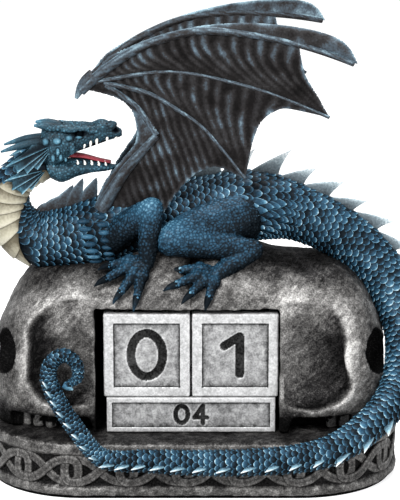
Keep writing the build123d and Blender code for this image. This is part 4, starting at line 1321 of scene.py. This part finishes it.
numeral_strokes = {
    "0": [arc(0, 0, 0.29, 0.41, count=40)],
    "1": [np.array(((-0.20, 0.17), (0.08, 0.35), (0.08, -0.36)))],
    "2": [np.vstack([arc(0, 0.18, 0.26, 0.24, 165, -40), ((-0.27, -0.41), (0.28, -0.41))])],
    "3": [arc(-0.02, 0.20, 0.24, 0.22, 150, -85), arc(-0.02, -0.19, 0.27, 0.23, 85, -150)],
    "4": [np.array(((0.12, -0.42), (0.12, 0.42), (-0.28, -0.16), (0.30, -0.16)))],
    "5": [np.vstack([((0.24, 0.41), (-0.18, 0.41), (-0.22, 0.06)),
                     arc(-0.02, -0.14, 0.27, 0.27, 130, -150)])],
    "6": [arc(0, -0.16, 0.26, 0.26, count=36), np.array(((-0.25, -0.10), (-0.12, 0.20), (0.16, 0.42)))],
    "7": [np.array(((-0.27, 0.41), (0.27, 0.41), (-0.06, -0.42)))],
    "8": [arc(0, 0.21, 0.21, 0.20, count=32), arc(0, -0.19, 0.26, 0.23, count=36)],
    "9": [arc(0, 0.16, 0.26, 0.26, count=36), np.array(((0.25, 0.10), (0.12, -0.20), (-0.16, -0.42)))],
}
# Faces of a block: outward direction and the reading direction across it
face_directions = np.array((
    ((0, -1, 0), (1, 0, 0)), ((0, 1, 0), (-1, 0, 0)), ((1, 0, 0), (0, 1, 0)),
    ((-1, 0, 0), (0, -1, 0)), ((0, 0, 1), (1, 0, 0)), ((0, 0, -1), (1, 0, 0)),
), float)
# Sizes of cubes and bars: numeral height, its spacing, half a stroke, voxel and border
cube_sizes = (21.0, 0.0, 1.75, 0.34, cube_border)
bar_sizes = (8.2, 7.2, 0.95, 0.28, bar_border)
block_lumps = (0.08, 2.2)
smear_size = 6.0
panel_depth = 1.6
numeral_depth = 0.50
numeral_slope = 0.30
numeral_lip = 0.25
lip_height = 0.10


def build_block(name, node, marks, sizes):
    """A calendar block with bright borders, pitted panels and sunk dark numerals."""
    numeral_height, spacing, half_stroke, voxel, border = sizes
    points, faces = cad_mesh(node)
    low, high = points.min(axis=0), points.max(axis=0)
    middle, half = (low + high) / 2, (high - low) / 2
    points, normals, edges, faces = skin(points, faces, voxel, 2)
    points, lumps = roughened(points, normals, *block_lumps)
    smears = fractal(points, smear_size)
    worn = 0.85 + 0.7 * stand_out(points, normals, edges, 8, 1.8) + 0.09 * lumps + 0.04 * smears
    rest = points - middle
    for (out, across), mark in zip(face_directions, marks):
        rise = np.cross(out, across)
        depth = half @ np.abs(out) - rest @ out
        flat = np.stack([rest @ across, rest @ rise], axis=1)
        reach = np.array((half @ np.abs(across), half @ np.abs(rise))) - border
        panel = (depth < panel_depth) & (np.abs(flat) < reach + 0.1).all(axis=1)
        inset = (reach - np.abs(flat)).min(axis=1)
        # Each panel darker along its sunk edge, as painted shade
        tone = 0.64 + 0.16 * lumps + 0.08 * smears - 0.50 * np.exp(-np.clip(inset, 0, 9) / 0.7)
        worn = np.where(panel, tone, worn)
        width = spacing * (len(mark) - 1)
        for order, digit in enumerate(mark):
            offset = flat[panel] - (order * spacing - width / 2, 0)
            strokes = [nearest_on(offset, stroke * numeral_height)[1] for stroke in numeral_strokes[digit]]
            away = np.min(strokes, axis=0) - half_stroke
            sink = np.clip(-away / numeral_slope, 0, 1)
            lip = np.exp(-((away - numeral_lip) / numeral_lip) ** 2)
            points[panel] += out * (lip_height * lip - numeral_depth * sink)[:, None]
            dark = 0.06 + 0.16 * np.clip(smears[panel], 0, 1)
            worn[panel] = np.where(sink > 0.3, dark, worn[panel] + 0.16 * lip)
    place_piece(name, points, faces, worn, [node], silver_paint, node)


build_body()
build_spines()
build_head()
build_teeth_and_horns()
build_fins()
build_wing(-1, "near_wing_membrane", "near_wing")
build_wing(1, "far_wing_membrane", "far_wing")
for leg_side, prefix in ((-1, "near"), (1, "far")):
    build_leg(leg_side, prefix + "_scaled_foreleg", prefix + "_foreleg", foreleg_shares,
              foreleg_radius_shares, foretoe_tip_shares)
    build_leg(leg_side, prefix + "_scaled_hind_leg", prefix + "_hind_leg", hind_leg_shares,
              hind_leg_radius_shares, hind_toe_tip_shares)
build_skull(-1, "cast_left_skull", "left_skull")
build_skull(1, "cast_right_skull", "right_skull")
build_plinth()
build_knotwork()
# Two number cubes and three month bars, with plain numbers
build_block("tens_numbers", "tens_cube", ("0", "3", "1", "4", "2", "5"), cube_sizes)
build_block("units_numbers", "units_cube", ("1", "7", "2", "6", "0", "8"), cube_sizes)
build_block("front_months", "front_month_bar", ("04", "01", "", "", "02", "03"), bar_sizes)
build_block("middle_months", "middle_month_bar", ("05", "06", "", "", "07", "08"), bar_sizes)
build_block("rear_months", "rear_month_bar", ("09", "10", "", "", "11", "12"), bar_sizes)


# Stage, lamps and camera, in metres
floor_size = 6.0
floor_colour = (0.6, 0.6, 0.6, 1)
floor_glow = 0.72
sky_colour = (0.93, 0.96, 1.0, 1)
sky_strength = 0.36
middle_height = (0, 0, 0.09)
camera_aim = Vector((3.45, -29.0, 95.2)) * MM
camera_distance = 0.82
frame_width = 0.1509


def end_tree(tree, kind, for_camera, for_others):
    """The tree's output, with one shader for the camera's own rays and one for all others."""
    rays = add_node(tree, "ShaderNodeLightPath")
    choose = add_node(tree, "ShaderNodeMixShader", {
        "Fac": rays.outputs["Is Camera Ray"], 1: for_others.outputs[0], 2: for_camera.outputs[0]})
    add_node(tree, kind, {"Surface": choose.outputs[0]})


def build_floor():
    """A white floor that shows a soft shadow and reads as the photo's white background."""
    mesh = bpy.data.meshes.new("floor")
    corners = [(x * floor_size, y * floor_size, 0) for x, y in corner_signs]
    mesh.from_pydata(corners, [], [(0, 1, 2, 3)])
    floor = new_object("floor", mesh)
    made = bpy.data.materials.new("floor_white")
    made.use_nodes = True
    tree = made.node_tree
    tree.nodes.clear()
    matt = add_node(tree, "ShaderNodeBsdfDiffuse", {"Color": floor_colour})
    glow = add_node(tree, "ShaderNodeEmission", {"Strength": floor_glow})
    both = add_node(tree, "ShaderNodeAddShader", {0: matt.outputs[0], 1: glow.outputs[0]})
    end_tree(tree, "ShaderNodeOutputMaterial", both, matt)
    mesh.materials.append(made)


def build_world():
    """Even studio light, pure white behind the object."""
    world = bpy.data.worlds.new("studio")
    bpy.context.scene.world = world
    world.use_nodes = True
    tree = world.node_tree
    tree.nodes.clear()
    light = add_node(tree, "ShaderNodeBackground", {"Color": sky_colour, "Strength": sky_strength})
    white = add_node(tree, "ShaderNodeBackground", {"Strength": 1.0})
    end_tree(tree, "ShaderNodeOutputWorld", white, light)


def aim(holder, place, target):
    """Puts a lamp or camera in its place, looking at a point."""
    holder.location = place
    holder.rotation_euler = (Vector(target) - holder.location).to_track_quat("-Z", "Y").to_euler()


def build_lamp(name, place, size, power):
    """A soft square lamp aimed at the middle of the object."""
    lamp = bpy.data.lights.new(name, "AREA")
    lamp.size = size
    lamp.energy = power
    aim(new_object(name, lamp), place, middle_height)


def build_camera():
    """The photo's view: level with the front, looking down a little."""
    camera = bpy.data.cameras.new("camera")
    camera.sensor_fit = "HORIZONTAL"
    camera.sensor_width = 36.0
    camera.lens = camera.sensor_width * camera_distance / frame_width
    holder = new_object("camera", camera)
    aim(holder, camera_aim + camera_distance * Vector((0, -cos(view_tilt), sin(view_tilt))), camera_aim)
    bpy.context.scene.camera = holder


build_floor()
build_world()
build_lamp("key", (-0.45, -0.85, 0.80), 0.4, 17.0)
build_lamp("fill", (0.70, -0.65, 0.35), 0.6, 5.0)
build_lamp("top", (0.10, 0.25, 0.95), 0.5, 9.0)
build_camera()
bpy.context.scene.view_settings.view_transform = "Standard"
